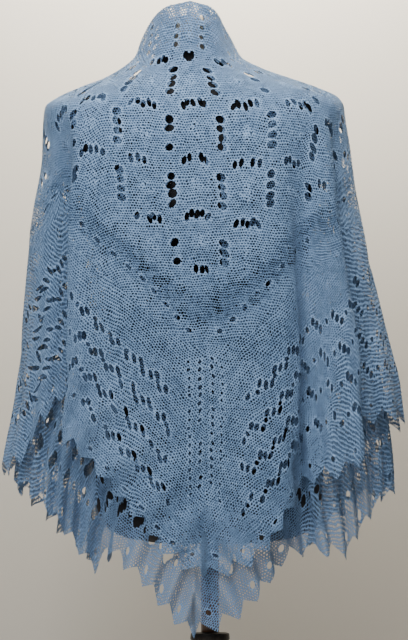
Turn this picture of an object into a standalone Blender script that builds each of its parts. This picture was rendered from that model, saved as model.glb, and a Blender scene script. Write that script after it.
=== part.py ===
# A knitted lace shawl, folded on its diagonal and worn round the neck and shoulders of a dress form.
# Metres, Z up. The wearer's back faces -Y. The origin is on the floor on the pole's axis.

import math

import bpy
import bmesh
import numpy as np
from mathutils import Vector
from mathutils.geometry import delaunay_2d_cdt

# Heights are tabled in steps of 1.32 mm down from the top of the neck, and widths in the same steps.
STEP = 0.00132
TOP_Z = 1.4426
AXIS = 210.0

# The flat shawl: a square whose fold line lies 39 mm off its diagonal.
FOLD_OFFSET = 0.039
HALF_DIAGONAL = 0.799
BORDER_DEPTH = 0.210
EDGING_DEPTH = 0.042
POINT_DEPTH = 0.015
POINT_PITCH = 0.033
SIDE = HALF_DIAGONAL * math.sqrt(2)
OUTER_REACH = HALF_DIAGONAL - FOLD_OFFSET
INNER_REACH = HALF_DIAGONAL + FOLD_OFFSET
NECK_HALF = 0.100
NECK_POWER = 4.0

# The cloth's wall and its joins.
WALL = 0.0016
SEAM = 0.0003
ROLL = 0.006
FOLD_BAND = 0.012
FOLD_SEAM = 0.000004
FRONT_GAP = 0.004
LAYER_GAP = 0.0080
MORE_GAP = 0.005
SLOPE_DROP = 0.006

# Mesh spacing in the flat cloth.
CELL = 0.038
ROW = 0.044
BORDER_ROW = 0.034
FOLD_ROW = 0.0215
TURN = math.radians(30)
HOLE_CLEAR = 0.0075
EDGE_CLEAR = 0.010
FOLD_NEAR = 0.8
FOLD_FAR = 1.5
SIDE_CLEAR = 0.012
POINT_EASE = 0.6
NECK_TURN = 0.12
SPREAD_SHARE = 0.45
FOLD_MORE = 0.03
HEM_FOLD_IN = 0.15
HEM_FOLD_OUT = 0.02
HALVINGS = 36
PLACE_MARKS = 241
SHARE_MARKS = 2401
MM = 1000
FOLD_CLEAR = 0.0022
SLIVER = 1e-6
FINE_MARKS = 1601
LEAST_ALONG_SEAM = 0.013
LEAST_IN_CENTRE = 0.024
LEAST_IN_BORDER = 0.012
CORNER_CLEAR = 0.004
CENTRE_FOLD = HALF_DIAGONAL - BORDER_DEPTH * 1.42
CENTRE_DEPTH = 0.60

# Sections of the cloth: height step, left edge, centre, right edge, depth behind and in front in mm.
SECTIONS = (
    # step, left, centre, right, behind, front
    (0, 150, 190, 229, 50, 50),
    (20, 147, 190, 229, 54, 52),
    (40, 141, 189, 233, 58, 55),
    (57, 135, 189, 241, 63, 58),
    (68, 122, 190, 261, 72, 61),
    (78, 105, 191, 288, 82, 65),
    (88, 80, 192, 318, 92, 70),
    (97, 59, 193, 338, 99, 76),
    (107, 45, 194, 344, 104, 82),
    (125, 43, 195, 345.5, 109, 90),
    (156, 43, 196, 349.5, 115, 97),
    (206, 35, 198, 356.5, 120, 104),
    (260, 29, 202, 367, 123, 108),
    (320, 24, 206, 379, 125, 109),
    (398, 18, 208, 394, 126, 108),
    (480, 5, 208, 401, 126, 105),
    (640, 0, 208, 404, 126, 100),
)

# The fold line round the neck: distance from the back in mm, and its height step on each side.
NECK_LINE = (
    # distance, left, right
    (0, 2, 2),
    (35, 6, 7),
    (70, 19, 29),
    (88, 36, 42),
    (100, 52, 53),
)

# Where each fall line starts round the neck and leaves the shoulder, in degrees from the back.
FALL = (
    # share, neck, shoulder
    (0.00, 0, 0),
    (0.06, 19, 22),
    (0.12, 37, 40),
    (0.18, 52, 53),
    (0.25, 65, 62),
    (0.34, 76, 68),
    (0.44, 84, 74),
    (0.55, 90, 83),
    (0.70, 94, 97),
    (0.85, 97, 112),
    (1.00, 100, 126),
)

# The outer hem: share of the hem from the back corner, sideways step, depth in mm, height step.
OUTER_HEM = (
    # share, across, depth, height
    (-1.00, 112, 92, 512),
    (-0.93, 92, 112, 506),
    (-0.86, 76, 82, 494),
    (-0.79, 55, 84, 481),
    (-0.73, 40, 50, 471),
    (-0.67, 17, 34, 468),
    (-0.61, 5, 2, 474),
    (-0.56, 5, -34, 476),
    (-0.51, 20, -64, 464),
    (-0.46, 46, -78, 420),
    (-0.415, 72, -80, 396),
    (-0.375, 93, -85, 402),
    (-0.345, 99, -94, 412),
    (-0.315, 87, -102, 425),
    (-0.280, 70, -106, 438),
    (-0.250, 64, -119, 446),
    (-0.215, 76, -127, 452),
    (-0.155, 108, -128, 487),
    (-0.10, 143, -126, 528),
    (-0.05, 173, -124, 562),
    (0.00, 204, -124, 577),
    (0.05, 238, -126, 572),
    (0.10, 266, -126, 552),
    (0.135, 284, -123, 524),
    (0.165, 292, -110, 506),
    (0.195, 289, -95, 500),
    (0.225, 297, -86, 492),
    (0.26, 312, -97, 484),
    (0.31, 334, -108, 479),
    (0.35, 357, -104, 468),
    (0.385, 362, -90, 455),
    (0.415, 350, -80, 440),
    (0.45, 352, -68, 430),
    (0.49, 374, -60, 424),
    (0.54, 397, -38, 421),
    (0.60, 402, 0, 428),
    (0.66, 389, 36, 440),
    (0.72, 362, 48, 452),
    (0.78, 350, 82, 466),
    (0.85, 326, 80, 478),
    (0.92, 314, 110, 490),
    (1.00, 294, 92, 498),
)

# The inner hem, with the same columns.
INNER_HEM = (
    # share, across, depth, height
    (-1.00, 108, 81, 569),
    (-0.93, 91, 97, 562),
    (-0.86, 80, 68, 552),
    (-0.79, 62, 72, 538),
    (-0.72, 46, 42, 520),
    (-0.65, 24, 18, 500),
    (-0.57, 18, -22, 492),
    (-0.49, 36, -52, 500),
    (-0.41, 58, -66, 526),
    (-0.33, 78, -69, 552),
    (-0.275, 97, -72, 573),
    (-0.245, 107, -79, 562),
    (-0.215, 113, -97, 560),
    (-0.185, 124, -107, 568),
    (-0.14, 144, -113, 586),
    (-0.07, 168, -114, 615),
    (0.00, 194, -114, 636),
    (0.08, 237, -114, 619),
    (0.14, 262, -108, 592),
    (0.19, 276, -86, 572),
    (0.24, 296, -70, 556),
    (0.30, 320, -80, 556),
    (0.36, 342, -62, 560),
    (0.43, 360, -49, 536),
    (0.50, 379, -36, 508),
    (0.57, 391, -8, 494),
    (0.65, 382, 22, 498),
    (0.72, 356, 36, 508),
    (0.79, 340, 68, 522),
    (0.86, 320, 68, 536),
    (0.93, 312, 95, 546),
    (1.00, 297, 81, 552),
)
FOLD_START = 96.0
FOLD_POWER = 0.85

# Lace, in metres of flat cloth.
LATTICE_LINES = (
    # from the spine as draped, flat
    (0.000, 0.000),
    (0.035, 0.021),
    (0.105, 0.063),
    (0.175, 0.118),
    (0.245, 0.190),
    (0.315, 0.262),
    (0.385, 0.334),
    (0.455, 0.406),
)
LATTICE_STEP = 0.070
LATTICE_TALL = 0.072
LATTICE_PAIR = 0.0118
LATTICE_EDGE = 0.279
LATTICE_ROWS = 7
LATTICE_SIDE = 6
NECK_LACE = 0.07
HOLE_LONG = 0.0056
HOLE_WIDE = 0.0044
FEATHER_ROWS = (0.058, 0.090, 0.122, 0.154)
FEATHER_PITCH = 0.0295
FEATHER_LONG = 0.0066
FEATHER_WIDE = 0.0036
FEATHER_CLEAR = 0.036
EDGING_EYELET = 0.020
BOUNDARY_EYELET = 0.219
BOUNDARY_RISE = 0.020
BOUNDARY_SPREAD = 0.07
BOUNDARY_PITCH = 0.0245
SPINE_PITCH = 0.0212
SPINE_EYELETS = 9
SPINE_SIDE = 0.0105
NECK_CLEAR = 0.012
LEAST_STRETCH = 0.45

# The form: height, left and right half widths, depth behind and in front, sideways centre, in mm.
TORSO = (
    # height, left, right, behind, front, centre
    (1376, 46, 46, 44, 42, -27),
    (1362, 48, 49, 46, 44, -27),
    (1349, 56, 60, 51, 46, -27),
    (1337, 78, 90, 60, 49, -26),
    (1324, 112, 132, 70, 54, -25),
    (1312, 142, 160, 78, 59, -24),
    (1300, 160, 170, 84, 65, -22),
    (1278, 168, 172, 91, 76, -20),
    (1240, 166, 168, 98, 90, -18),
    (1190, 158, 160, 99, 98, -16),
    (1120, 144, 145, 92, 97, -13),
    (1040, 126, 127, 80, 82, -10),
    (980, 124, 125, 78, 77, -8),
    (900, 140, 141, 84, 80, -5),
    (840, 152, 153, 90, 82, -3),
    (775, 148, 148, 88, 78, -2),
    (745, 134, 134, 80, 70, 0),
    (732, 108, 108, 64, 56, 0),
    (726, 70, 70, 42, 36, 0),
)
TORSO_AROUND = 36

# Turned pieces of the stand: radius and height along each profile, from the top down.
NECK_CAP_X = -0.0275
NECK_CAP_PROFILE = (
    (0.0, 1.4250), (0.016, 1.4245), (0.030, 1.4210), (0.038, 1.4140), (0.040, 1.4050), (0.040, 1.3763),
    (0.0, 1.3763),
)
POLE_RADIUS = 0.012
POLE_TOP = 0.726 - SEAM
COLLAR_TOP = 0.608
COLLAR_FOOT = 0.545
LOWER_RADIUS = 0.0165
BASE_TOP = 0.038
POLE_PROFILE = (
    (0.0, POLE_TOP), (POLE_RADIUS, POLE_TOP), (POLE_RADIUS, COLLAR_TOP + SEAM), (0.0, COLLAR_TOP + SEAM),
)
COLLAR_PROFILE = (
    (0.0, COLLAR_TOP), (0.0215, COLLAR_TOP), (0.0255, 0.6065), (0.0262, 0.600), (0.0215, 0.592),
    (0.0205, 0.550), (0.0195, COLLAR_FOOT), (0.0, COLLAR_FOOT),
)
LOWER_PROFILE = (
    (0.0, COLLAR_FOOT - SEAM), (LOWER_RADIUS, COLLAR_FOOT - SEAM), (LOWER_RADIUS, BASE_TOP + SEAM),
    (0.0, BASE_TOP + SEAM),
)
BASE_PROFILE = (
    (0.0, BASE_TOP), (0.024, BASE_TOP), (0.030, 0.034), (0.038, 0.030), (0.120, 0.024), (0.160, 0.017),
    (0.170, 0.010), (0.168, 0.002), (0.164, 0.0), (0.0, 0.0),
)
ROUND_STEPS = 40

YARN = (0.245, 0.345, 0.470)
DARK_CLOTH = (0.020, 0.018, 0.017)
PALE_WOOD = (0.62, 0.54, 0.42)
BROWN_WOOD = (0.16, 0.065, 0.022)
DARK_METAL = (0.022, 0.020, 0.020)


# Curves through tables

def curve(at, places, values):
    """A smooth curve through the values, without overshoot."""
    places = np.asarray(places, float)
    values = np.asarray(values, float)
    rise = np.diff(values) / np.diff(places)
    slope = np.zeros_like(values)
    same = rise[1:] * rise[:-1] > 0
    inner = 2 * rise[1:] * rise[:-1] / np.where(same, rise[1:] + rise[:-1], 1.0)
    slope[1:-1] = np.where(same, inner, 0.0)
    slope[0] = rise[0]
    slope[-1] = rise[-1]
    return hermite(at, places, values, slope)


def round_curve(at, places, values):
    """A rounder curve through the values, for the folds."""
    places = np.asarray(places, float)
    values = np.asarray(values, float)
    slope = np.gradient(values, places)
    return hermite(at, places, values, slope)


def hermite(at, places, values, slope):
    at = np.clip(at, places[0], places[-1])
    cell = np.clip(np.searchsorted(places, at, side="right") - 1, 0, len(places) - 2)
    width = places[cell + 1] - places[cell]
    t = (at - places[cell]) / width
    start = values[cell] * (2 * t**3 - 3 * t**2 + 1) + slope[cell] * width * (t**3 - 2 * t**2 + t)
    end = values[cell + 1] * (3 * t**2 - 2 * t**3) + slope[cell + 1] * width * (t**3 - t**2)
    return start + end


def column(table, index):
    return np.array([row[index] for row in table], float)


# The drape: from the flat cloth to its place on the form

def neck_start(share):
    return NECK_HALF * np.sign(share) * (1 - (1 - np.abs(share)) ** NECK_POWER)


def line_step(share):
    """Height step of the fold line where a fall line starts."""
    along = np.abs(neck_start(share)) * MM
    left = curve(along, column(NECK_LINE, 0), column(NECK_LINE, 1))
    right = curve(along, column(NECK_LINE, 0), column(NECK_LINE, 2))
    return np.where(share < 0, left, right)


def hem_point(share, hem):
    across = round_curve(share, column(hem, 0), column(hem, 1))
    depth = round_curve(share, column(hem, 0), column(hem, 2))
    step = curve(share, column(hem, 0), column(hem, 3))
    return (across - AXIS) * STEP, depth / MM, step


def smooth(t):
    t = np.clip(t, 0, 1)
    return t * t * (3 - 2 * t)


def ring(share, step, inset):
    """A point of the smooth section round the body, before its folds."""
    steps = column(SECTIONS, 0)
    centre = curve(step, steps, column(SECTIONS, 2))
    left = (centre - curve(step, steps, column(SECTIONS, 1))) * STEP
    right = (curve(step, steps, column(SECTIONS, 3)) - centre) * STEP
    behind = curve(step, steps, column(SECTIONS, 4)) / MM
    front = curve(step, steps, column(SECTIONS, 5)) / MM
    size = np.abs(share)
    neck = curve(size, column(FALL, 0), column(FALL, 1))
    shoulder = curve(size, column(FALL, 0), column(FALL, 2))
    angle = np.radians(neck + (shoulder - neck) * smooth((step - 50) / 60)) * np.sign(share)
    wide = np.where(share < 0, left, right) - inset
    deep = np.where(np.cos(angle) > 0, behind, front) - inset
    power = 2.0 + 0.5 * smooth((step - 60) / 60)
    reach = (np.abs(np.sin(angle) / wide) ** power + np.abs(np.cos(angle) / deep) ** power) ** (-1 / power)
    return (centre - AXIS) * STEP + reach * np.sin(angle), -reach * np.cos(angle)


def place(share, step, layer):
    """A point of one layer of the cloth, with its folds."""
    hem = OUTER_HEM if layer > 0 else INNER_HEM
    front = FRONT_GAP * smooth((np.abs(share) - 0.7) / 0.25)
    inset = 0.0 if layer > 0 else LAYER_GAP + front + MORE_GAP * smooth((step - 100) / 120)
    x, y = ring(share, step, inset)
    hem_x, hem_y, hem_step = hem_point(share, hem)
    base_x, base_y = ring(share, hem_step, 0.0 if layer > 0 else LAYER_GAP + front + MORE_GAP)
    full_step = hem_point(share, OUTER_HEM)[2]
    fall = np.clip((step - FOLD_START) / (full_step - FOLD_START), 0, 1)
    grown = fall**FOLD_POWER * smooth(fall * 8)
    x = x + (hem_x - base_x) * grown
    y = y + (hem_y - base_y) * grown
    sunk = 0.0 if layer > 0 else SLOPE_DROP * smooth((step - 45) / 20) * smooth((130 - step) / 30)
    return np.stack([x, y, TOP_Z - step * STEP - sunk], axis=-1)


PATH_SHARES = np.linspace(-1, 1, 801)
PATH_MARKS = 161


def path_table(layer):
    """For each fall line, the height steps at even distances along it."""
    hem = OUTER_HEM if layer > 0 else INNER_HEM
    top = line_step(PATH_SHARES)
    low = hem_point(PATH_SHARES, hem)[2]
    mark = np.linspace(0, 1, PLACE_MARKS)
    steps = top[:, None] + (low - top)[:, None] * mark[None, :]
    points = place(PATH_SHARES[:, None] + 0 * steps, steps, layer)
    length = np.zeros(steps.shape)
    length[:, 1:] = np.cumsum(np.linalg.norm(np.diff(points, axis=1), axis=2), axis=1)
    even = np.linspace(0, 1, PATH_MARKS)
    rows = [np.interp(even, length[i] / length[i, -1], steps[i]) for i in range(len(PATH_SHARES))]
    return np.array(rows)


TABLES = {1: path_table(1), -1: path_table(-1)}


def step_at(share, along, layer):
    """The height step at a part of the way down a fall line."""
    table = TABLES[layer]
    i = (np.clip(share, -1, 1) + 1) / 2 * (len(PATH_SHARES) - 1)
    j = np.clip(along, 0, 1) * (PATH_MARKS - 1)
    i0 = np.clip(i.astype(int), 0, len(PATH_SHARES) - 2)
    j0 = np.clip(j.astype(int), 0, PATH_MARKS - 2)
    fi = i - i0
    fj = j - j0
    upper = table[i0, j0] * (1 - fj) + table[i0, j0 + 1] * fj
    lower = table[i0 + 1, j0] * (1 - fj) + table[i0 + 1, j0 + 1] * fj
    return upper * (1 - fi) + lower * fi


def fall_line(x, y, reach):
    """Which fall line a flat point is on, and how far down it as a share of its length."""
    size = np.abs(x)
    low = np.zeros_like(size)
    high = np.ones_like(size)
    for _ in range(HALVINGS):
        mid = (low + high) / 2
        start = neck_start(mid)
        across = mid * reach - start
        down = (1 - mid) * reach
        beyond = (size - start) * down - y * across > 0
        low = np.where(beyond, mid, low)
        high = np.where(beyond, high, mid)
    start = neck_start(mid)
    length = np.hypot(mid * reach - start, (1 - mid) * reach)
    gone = np.hypot(size - start, y)
    return mid * np.sign(x), gone / length


def layer_place(x, y, layer):
    reach = OUTER_REACH if layer > 0 else INNER_REACH
    share, along = fall_line(x, y, reach)
    return place(share, step_at(share, along, layer), layer)


def drape(x, y):
    """Flat cloth to its place: y is positive on the outer layer and negative on the inner one."""
    x = np.asarray(x, float)
    y = np.asarray(y, float)
    depth = np.abs(y)
    outer = layer_place(x, depth, 1)
    inner = layer_place(x, depth, -1)
    open_by = np.sqrt(np.clip(1 - (1 - np.clip(depth / ROLL, 0, 1)) ** 2, 0, 1)) * np.where(y < 0, -1, 1)
    return (outer + inner) / 2 + (outer - inner) / 2 * open_by[..., None]


def wall_normal(x, y):
    d = 0.0015
    across = drape(x + d, y) - drape(x - d, y)
    down = drape(x, y + d) - drape(x, y - d)
    normal = np.cross(down, across)
    return normal / np.linalg.norm(normal, axis=-1, keepdims=True)


# Flat layout of the lace and of the pieces

def depth_in(x, y):
    """Distance of a flat point from the hem line."""
    return (HALF_DIAGONAL - abs(x) - abs(y + FOLD_OFFSET)) / math.sqrt(2)


def hem_shares(layer):
    """Fall lines close enough together for the folds of a layer's hem."""
    hem = OUTER_HEM if layer > 0 else INNER_HEM
    reach = OUTER_REACH if layer > 0 else INNER_REACH
    share = np.linspace(-1, 1, SHARE_MARKS)
    x, y, _ = hem_point(share, hem)
    flat = np.abs(np.diff(share)) * reach * math.sqrt(2)
    heading = np.unwrap(np.arctan2(np.diff(y), np.diff(x)))
    turned = np.abs(np.diff(heading, append=heading[-1]))
    cost = np.concatenate([[0], np.cumsum(np.hypot(flat / CELL, turned / TURN))])
    half = np.searchsorted(share, 0.0)
    left = np.interp(np.linspace(0, cost[half], round(cost[half]) + 1), cost, share)
    rest = cost[-1] - cost[half]
    right = np.interp(cost[half] + np.linspace(0, rest, round(rest) + 1), cost, share)
    return np.concatenate([left[:-1], [0.0], right[1:]])


SHARES = {1: hem_shares(1), -1: hem_shares(-1)}


def on_fall_line(share, inset, layer):
    """The flat point of a fall line at a distance in from the hem."""
    reach = OUTER_REACH if layer > 0 else INNER_REACH
    start = neck_start(share)
    end_x = share * reach
    end_y = (1 - abs(share)) * reach
    run = abs(end_x - start) + end_y
    part = 1 - inset * math.sqrt(2) / run
    return start + (end_x - start) * part, end_y * part * layer


def seam_points(inset, layer, sides=(-1, 1)):
    """Points along a line of even depth on one layer, from the left corner to the right."""
    found = []
    for share in SHARES[layer]:
        if share < 0 and -1 not in sides or share > 0 and 1 not in sides:
            continue
        x, y = on_fall_line(float(share), inset, layer)
        if layer > 0 and y < FOLD_NEAR * FOLD_BAND:
            continue
        if layer < 0 and y > -FOLD_OFFSET - SIDE_CLEAR:
            continue
        found.append((x, y))
    found = thin(found, LEAST_ALONG_SEAM)
    if layer > 0:
        left, right = fold_crossings(inset)
        found = (left if -1 in sides else []) + found + (right if 1 in sides else [])
    return found


def thin(points, least):
    """Leaves out points that crowd their neighbour, but never the one on the spine."""
    kept = [points[0]]
    for point in points[1:]:
        near = math.dist(point, kept[-1]) < least
        if near and point[0] != 0.0:
            continue
        if near:
            kept.pop()
        kept.append(point)
    return kept


def fold_crossings(inset):
    """Where a line of even depth crosses the fold and runs to the side corner, left and right."""
    right = []
    for y in (ROLL / 2, 0.0, -ROLL / 2, -FOLD_BAND):
        right.append((HALF_DIAGONAL - inset * math.sqrt(2) - abs(y + FOLD_OFFSET), y))
    right.append((HALF_DIAGONAL - inset * math.sqrt(2), -FOLD_OFFSET))
    left = [(-x, y) for x, y in reversed(right)]
    return left, right


def side_point(along, inset, half, layer):
    """A flat point from its distance along one side from the back corner, and in from the hem."""
    x = half * (along - inset) / math.sqrt(2)
    y = layer * (SIDE - along - inset) / math.sqrt(2) - FOLD_OFFSET
    return x, y


def even_marks(inset, half, layer, pitch, parts=1):
    """Places along a line of even depth, at even distances once it is draped, with each step in parts."""
    along = np.linspace(inset, SIDE - inset, FINE_MARKS)
    steps = np.diff(drape(*side_point(along, inset, half, layer)), axis=0)
    gone = np.concatenate([[0], np.cumsum(np.linalg.norm(steps, axis=1))])
    count = parts * round(gone[-1] / pitch)
    return np.interp(np.linspace(0, gone[-1], count + 1), gone, along).tolist()


def zigzag(layer):
    """The pointed hem of one layer, from its left corner to its right."""
    sides = {}
    for half in (-1, 1):
        sides[half] = []
        for k, along in enumerate(even_marks(0.0, half, layer, POINT_PITCH, 2)):
            on_fold = abs(side_point(along, 0.0, half, layer)[1]) < 2 * FOLD_BAND
            inset = 0.0 if k % 2 == 0 or on_fold else min(POINT_DEPTH, POINT_EASE * along, POINT_EASE * (SIDE - along))
            sides[half].append(side_point(along, inset, half, layer))
    return sides[-1][::-1] + sides[1][1:]


def rows_between(first, last, spacing):
    count = max(1, round(abs(last - first) / spacing))
    return [first + (last - first) * k / count for k in range(1, count)]


def inner_points(first, last, spacing, layer, least):
    """Points of the rows of even depth between two depths, thinned where the fall lines crowd."""
    found = []
    for inset in rows_between(first, last, spacing):
        row = []
        for share in SHARES[layer]:
            x, y = on_fall_line(float(share), inset, layer)
            if y * layer > FOLD_BAND * FOLD_FAR:
                row.append((x, y))
        if row:
            found += thin(row, least)
    return found


def fold_marks(first, last):
    """Even distances from the middle along the fold line."""
    count = max(1, round((last - first) / FOLD_ROW))
    return [first + (last - first) * k / count for k in range(count + 1)]


def fold_points(first, last):
    """Points along the fold line and beside it, between two distances from the middle."""
    found = []
    for x in fold_marks(first, last):
        turning = abs(x - NECK_HALF) < NECK_HALF * NECK_TURN
        for y in (0.0, FOLD_BAND, -FOLD_BAND) if turning else (0.0, ROLL / 2, -ROLL / 2, FOLD_BAND, -FOLD_BAND):
            found.append((x, y))
            found.append((-x, y))
    return found


# Lace holes

def stretch_across(x, y):
    """How far the drape gathers the cloth sideways at a flat point: 1 where it lies flat."""
    d = 0.004
    run = drape(x + d, y) - drape(x - d, y)
    return max(LEAST_STRETCH, min(1.0, float(np.linalg.norm(run)) / (2 * d)))


def diamond(x, y, long_way, wide_way, turn):
    """A hole of even size once draped."""
    gathered = stretch_across(x, y)
    corners = []
    for k, size in enumerate((long_way, wide_way, long_way, wide_way)):
        angle = turn + k * math.pi / 2
        corners.append((x + size * math.cos(angle) / gathered, y + size * math.sin(angle)))
    return corners


def lattice_across(draped):
    """Flat distance from the spine of a place on the draped lattice."""
    return float(np.sign(draped) * curve(abs(draped), column(LATTICE_LINES, 0), column(LATTICE_LINES, 1)))


def lattice_holes():
    """The largest holes of each side of the lattice cells, on the outer half of the centre."""
    found = []
    for j in range(LATTICE_ROWS):
        for i in range(-LATTICE_SIDE, LATTICE_SIDE + 1):
            line = lattice_across((i + 0.5) * LATTICE_STEP)
            middle = (j + 0.5) * LATTICE_TALL
            found.append((line, middle - LATTICE_PAIR / 2, math.pi / 2))
            found.append((line, middle + LATTICE_PAIR / 2 + HOLE_WIDE / 2, math.pi / 2))
            found.append((lattice_across(i * LATTICE_STEP), (j + 1.0) * LATTICE_TALL, math.pi / 2))
    near = [h for h in found if depth_in(h[0], h[1]) > LATTICE_EDGE]
    clear = [h for h in near if h[1] > NECK_LACE or abs(h[0]) < NECK_HALF / 2]
    return [diamond(x, y, HOLE_LONG, HOLE_WIDE, turn) for x, y, turn in clear]


def boundary_holes():
    """The row of single eyelets inside the edge of the centre, on the outer layer."""
    found = []
    for half in (-1, 1):
        for along in even_marks(BOUNDARY_EYELET, half, 1, BOUNDARY_PITCH)[1:-1]:
            x = side_point(along, BOUNDARY_EYELET, half, 1)[0]
            inset = BOUNDARY_EYELET + BOUNDARY_RISE * float(smooth(abs(x) / BOUNDARY_SPREAD))
            x, y = side_point(along, inset, half, 1)
            if y > FOLD_BAND + NECK_CLEAR and abs(x) > NECK_CLEAR:
                found.append(diamond(x, y, HOLE_WIDE, HOLE_WIDE, 0.0))
    return found


def border_holes(side):
    """The middle hole of every second feather group, and the eyelets beside the spine, of one outer border."""
    found = []
    for row, inset in enumerate(FEATHER_ROWS):
        for along in even_marks(inset, side, 1, FEATHER_PITCH / 2)[1 + row % 2:-1:4]:
            x, y = side_point(along, inset, side, 1)
            if abs(x) > FEATHER_CLEAR and y > FOLD_BAND + NECK_CLEAR:
                found.append(diamond(x, y, FEATHER_LONG, FEATHER_WIDE, math.pi / 2))
    for k in range(1, SPINE_EYELETS + 1):
        y = OUTER_REACH - BORDER_DEPTH * math.sqrt(2) + k * SPINE_PITCH
        found.append(diamond(side * SPINE_SIDE, y, HOLE_LONG, HOLE_WIDE, math.pi / 2))
    return found


def edging_holes(layer):
    """One eyelet in each point of the edging."""
    found = []
    for half in (-1, 1):
        for along in even_marks(0.0, half, layer, POINT_PITCH)[1:-1]:
            x, y = side_point(along, EDGING_EYELET, half, layer)
            if abs(y) < FOLD_BAND + EDGE_CLEAR or y * layer < 0 or abs(x) < EDGE_CLEAR:
                continue
            found.append(diamond(x, y, HOLE_WIDE, HOLE_WIDE, math.pi / 4))
    return found


# Building the walls

def inside(points, polygon):
    """Which points lie inside a closed polygon."""
    x = points[:, 0]
    y = points[:, 1]
    hits = np.zeros(len(points), bool)
    for (x1, y1), (x2, y2) in zip(polygon, polygon[1:] + polygon[:1]):
        if y1 == y2:
            continue
        crosses = (y1 > y) != (y2 > y)
        hits ^= crosses & (x < (x2 - x1) * (y - y1) / (y2 - y1) + x1)
    return hits


def distance_to_edges(points, polygon):
    nearest = np.full(len(points), 9.0)
    for start, end in zip(polygon, polygon[1:] + polygon[:1]):
        a = np.array(start)
        run = np.array(end) - a
        t = np.clip(((points - a) @ run) / max(run @ run, 1e-12), 0, 1)
        nearest = np.minimum(nearest, np.linalg.norm(points - a - t[:, None] * run, axis=1))
    return nearest


def spread(points, least):
    """Leaves out points that crowd one already kept."""
    kept = []
    cells = {}
    for point in points:
        key = (math.floor(point[0] / least), math.floor(point[1] / least))
        near = [q for dx in (-1, 0, 1) for dy in (-1, 0, 1) for q in cells.get((key[0] + dx, key[1] + dy), [])]
        if all(math.dist(point, q) >= least for q in near):
            kept.append(point)
            cells.setdefault(key, []).append(point)
    return kept


def flat_mesh(outline, fill, holes):
    """Triangles of a flat piece, with its holes left open."""
    holes = [h for h in holes if inside(np.array(h), outline).all()
             and distance_to_edges(np.array(h), outline).min() > EDGE_CLEAR / 2]
    fill = spread(fill, ROLL * SPREAD_SHARE)
    points = np.array(fill) if fill else np.zeros((0, 2))
    if len(points):
        clear = np.where(np.abs(points[:, 1]) <= FOLD_BAND + 1e-6, FOLD_CLEAR, EDGE_CLEAR)
        keep = inside(points, outline) & (distance_to_edges(points, outline) > clear)
        for hole in holes:
            middle = np.mean(hole, axis=0)
            keep &= np.linalg.norm(points - middle, axis=1) > HOLE_CLEAR + HOLE_LONG
        points = points[keep]
    corners = [Vector(p) for p in outline]
    edges = [(k, (k + 1) % len(outline)) for k in range(len(outline))]
    for hole in holes:
        first = len(corners)
        corners += [Vector(p) for p in hole]
        edges += [(first + k, first + (k + 1) % 4) for k in range(4)]
    corners += [Vector(p) for p in points]
    made = delaunay_2d_cdt(corners, edges, [], 0, 1e-7)
    flat = np.array([tuple(v) for v in made[0]])
    faces = np.array([tuple(f) for f in made[2]])
    middles = flat[faces].mean(axis=1)
    keep = inside(middles, outline)
    for hole in holes:
        keep &= ~inside(middles, hole)
    settle_slivers(flat, faces, keep, edges)
    return flat, faces[keep]


def settle_slivers(flat, faces, keep, edges):
    """A triangle too thin to place by its middle goes with its neighbour."""
    run = flat[faces[:, 1]] - flat[faces[:, 0]]
    other = flat[faces[:, 2]] - flat[faces[:, 0]]
    area = np.abs(run[:, 0] * other[:, 1] - run[:, 1] * other[:, 0]) / 2
    longest = np.maximum(np.linalg.norm(run, axis=1), np.linalg.norm(other, axis=1))
    fixed = {frozenset(edge) for edge in edges}
    owners = {}
    for k, (a, b, c) in enumerate(faces.tolist()):
        for edge in ((a, b), (b, c), (c, a)):
            owners.setdefault(frozenset(edge), []).append(k)
    thin_ones = np.flatnonzero(area < longest * SLIVER)
    keep[thin_ones] = False
    for k in np.concatenate([thin_ones, thin_ones]):
        a, b, c = faces[k].tolist()
        for edge in ((a, b), (b, c), (c, a)):
            pair = owners[frozenset(edge)]
            if frozenset(edge) not in fixed and len(pair) == 2:
                keep[k] |= keep[pair[0] if pair[1] == k else pair[1]]


def wall_object(name, outline, fill, holes, material):
    """A closed cloth wall lofted from a flat piece through the drape."""
    flat, faces = flat_mesh(outline, fill, holes)
    middle = drape(flat[:, 0], flat[:, 1])
    normal = wall_normal(flat[:, 0], flat[:, 1])
    count = len(flat)
    points = np.concatenate([middle + normal * WALL / 2, middle - normal * WALL / 2])
    mesh = bmesh.new()
    verts = [mesh.verts.new(p) for p in points]
    borders = {}
    for a, b, c in faces.tolist():
        mesh.faces.new((verts[a], verts[b], verts[c]))
        mesh.faces.new((verts[count + c], verts[count + b], verts[count + a]))
        for edge in ((a, b), (b, c), (c, a)):
            borders[edge] = True
    for a, b in borders:
        if (b, a) not in borders:
            mesh.faces.new((verts[b], verts[a], verts[count + a], verts[count + b]))
    bmesh.ops.delete(mesh, geom=[v for v in mesh.verts if not v.link_faces], context="VERTS")
    bmesh.ops.triangulate(mesh, faces=mesh.faces)
    bmesh.ops.recalc_face_normals(mesh, faces=mesh.faces)
    return finish(name, mesh, material)


def finish(name, mesh, material):
    data = bpy.data.meshes.new(name)
    mesh.to_mesh(data)
    mesh.free()
    thing = bpy.data.objects.new(name, data)
    data.materials.append(material)
    SHAWL.objects.link(thing)
    return thing


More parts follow.
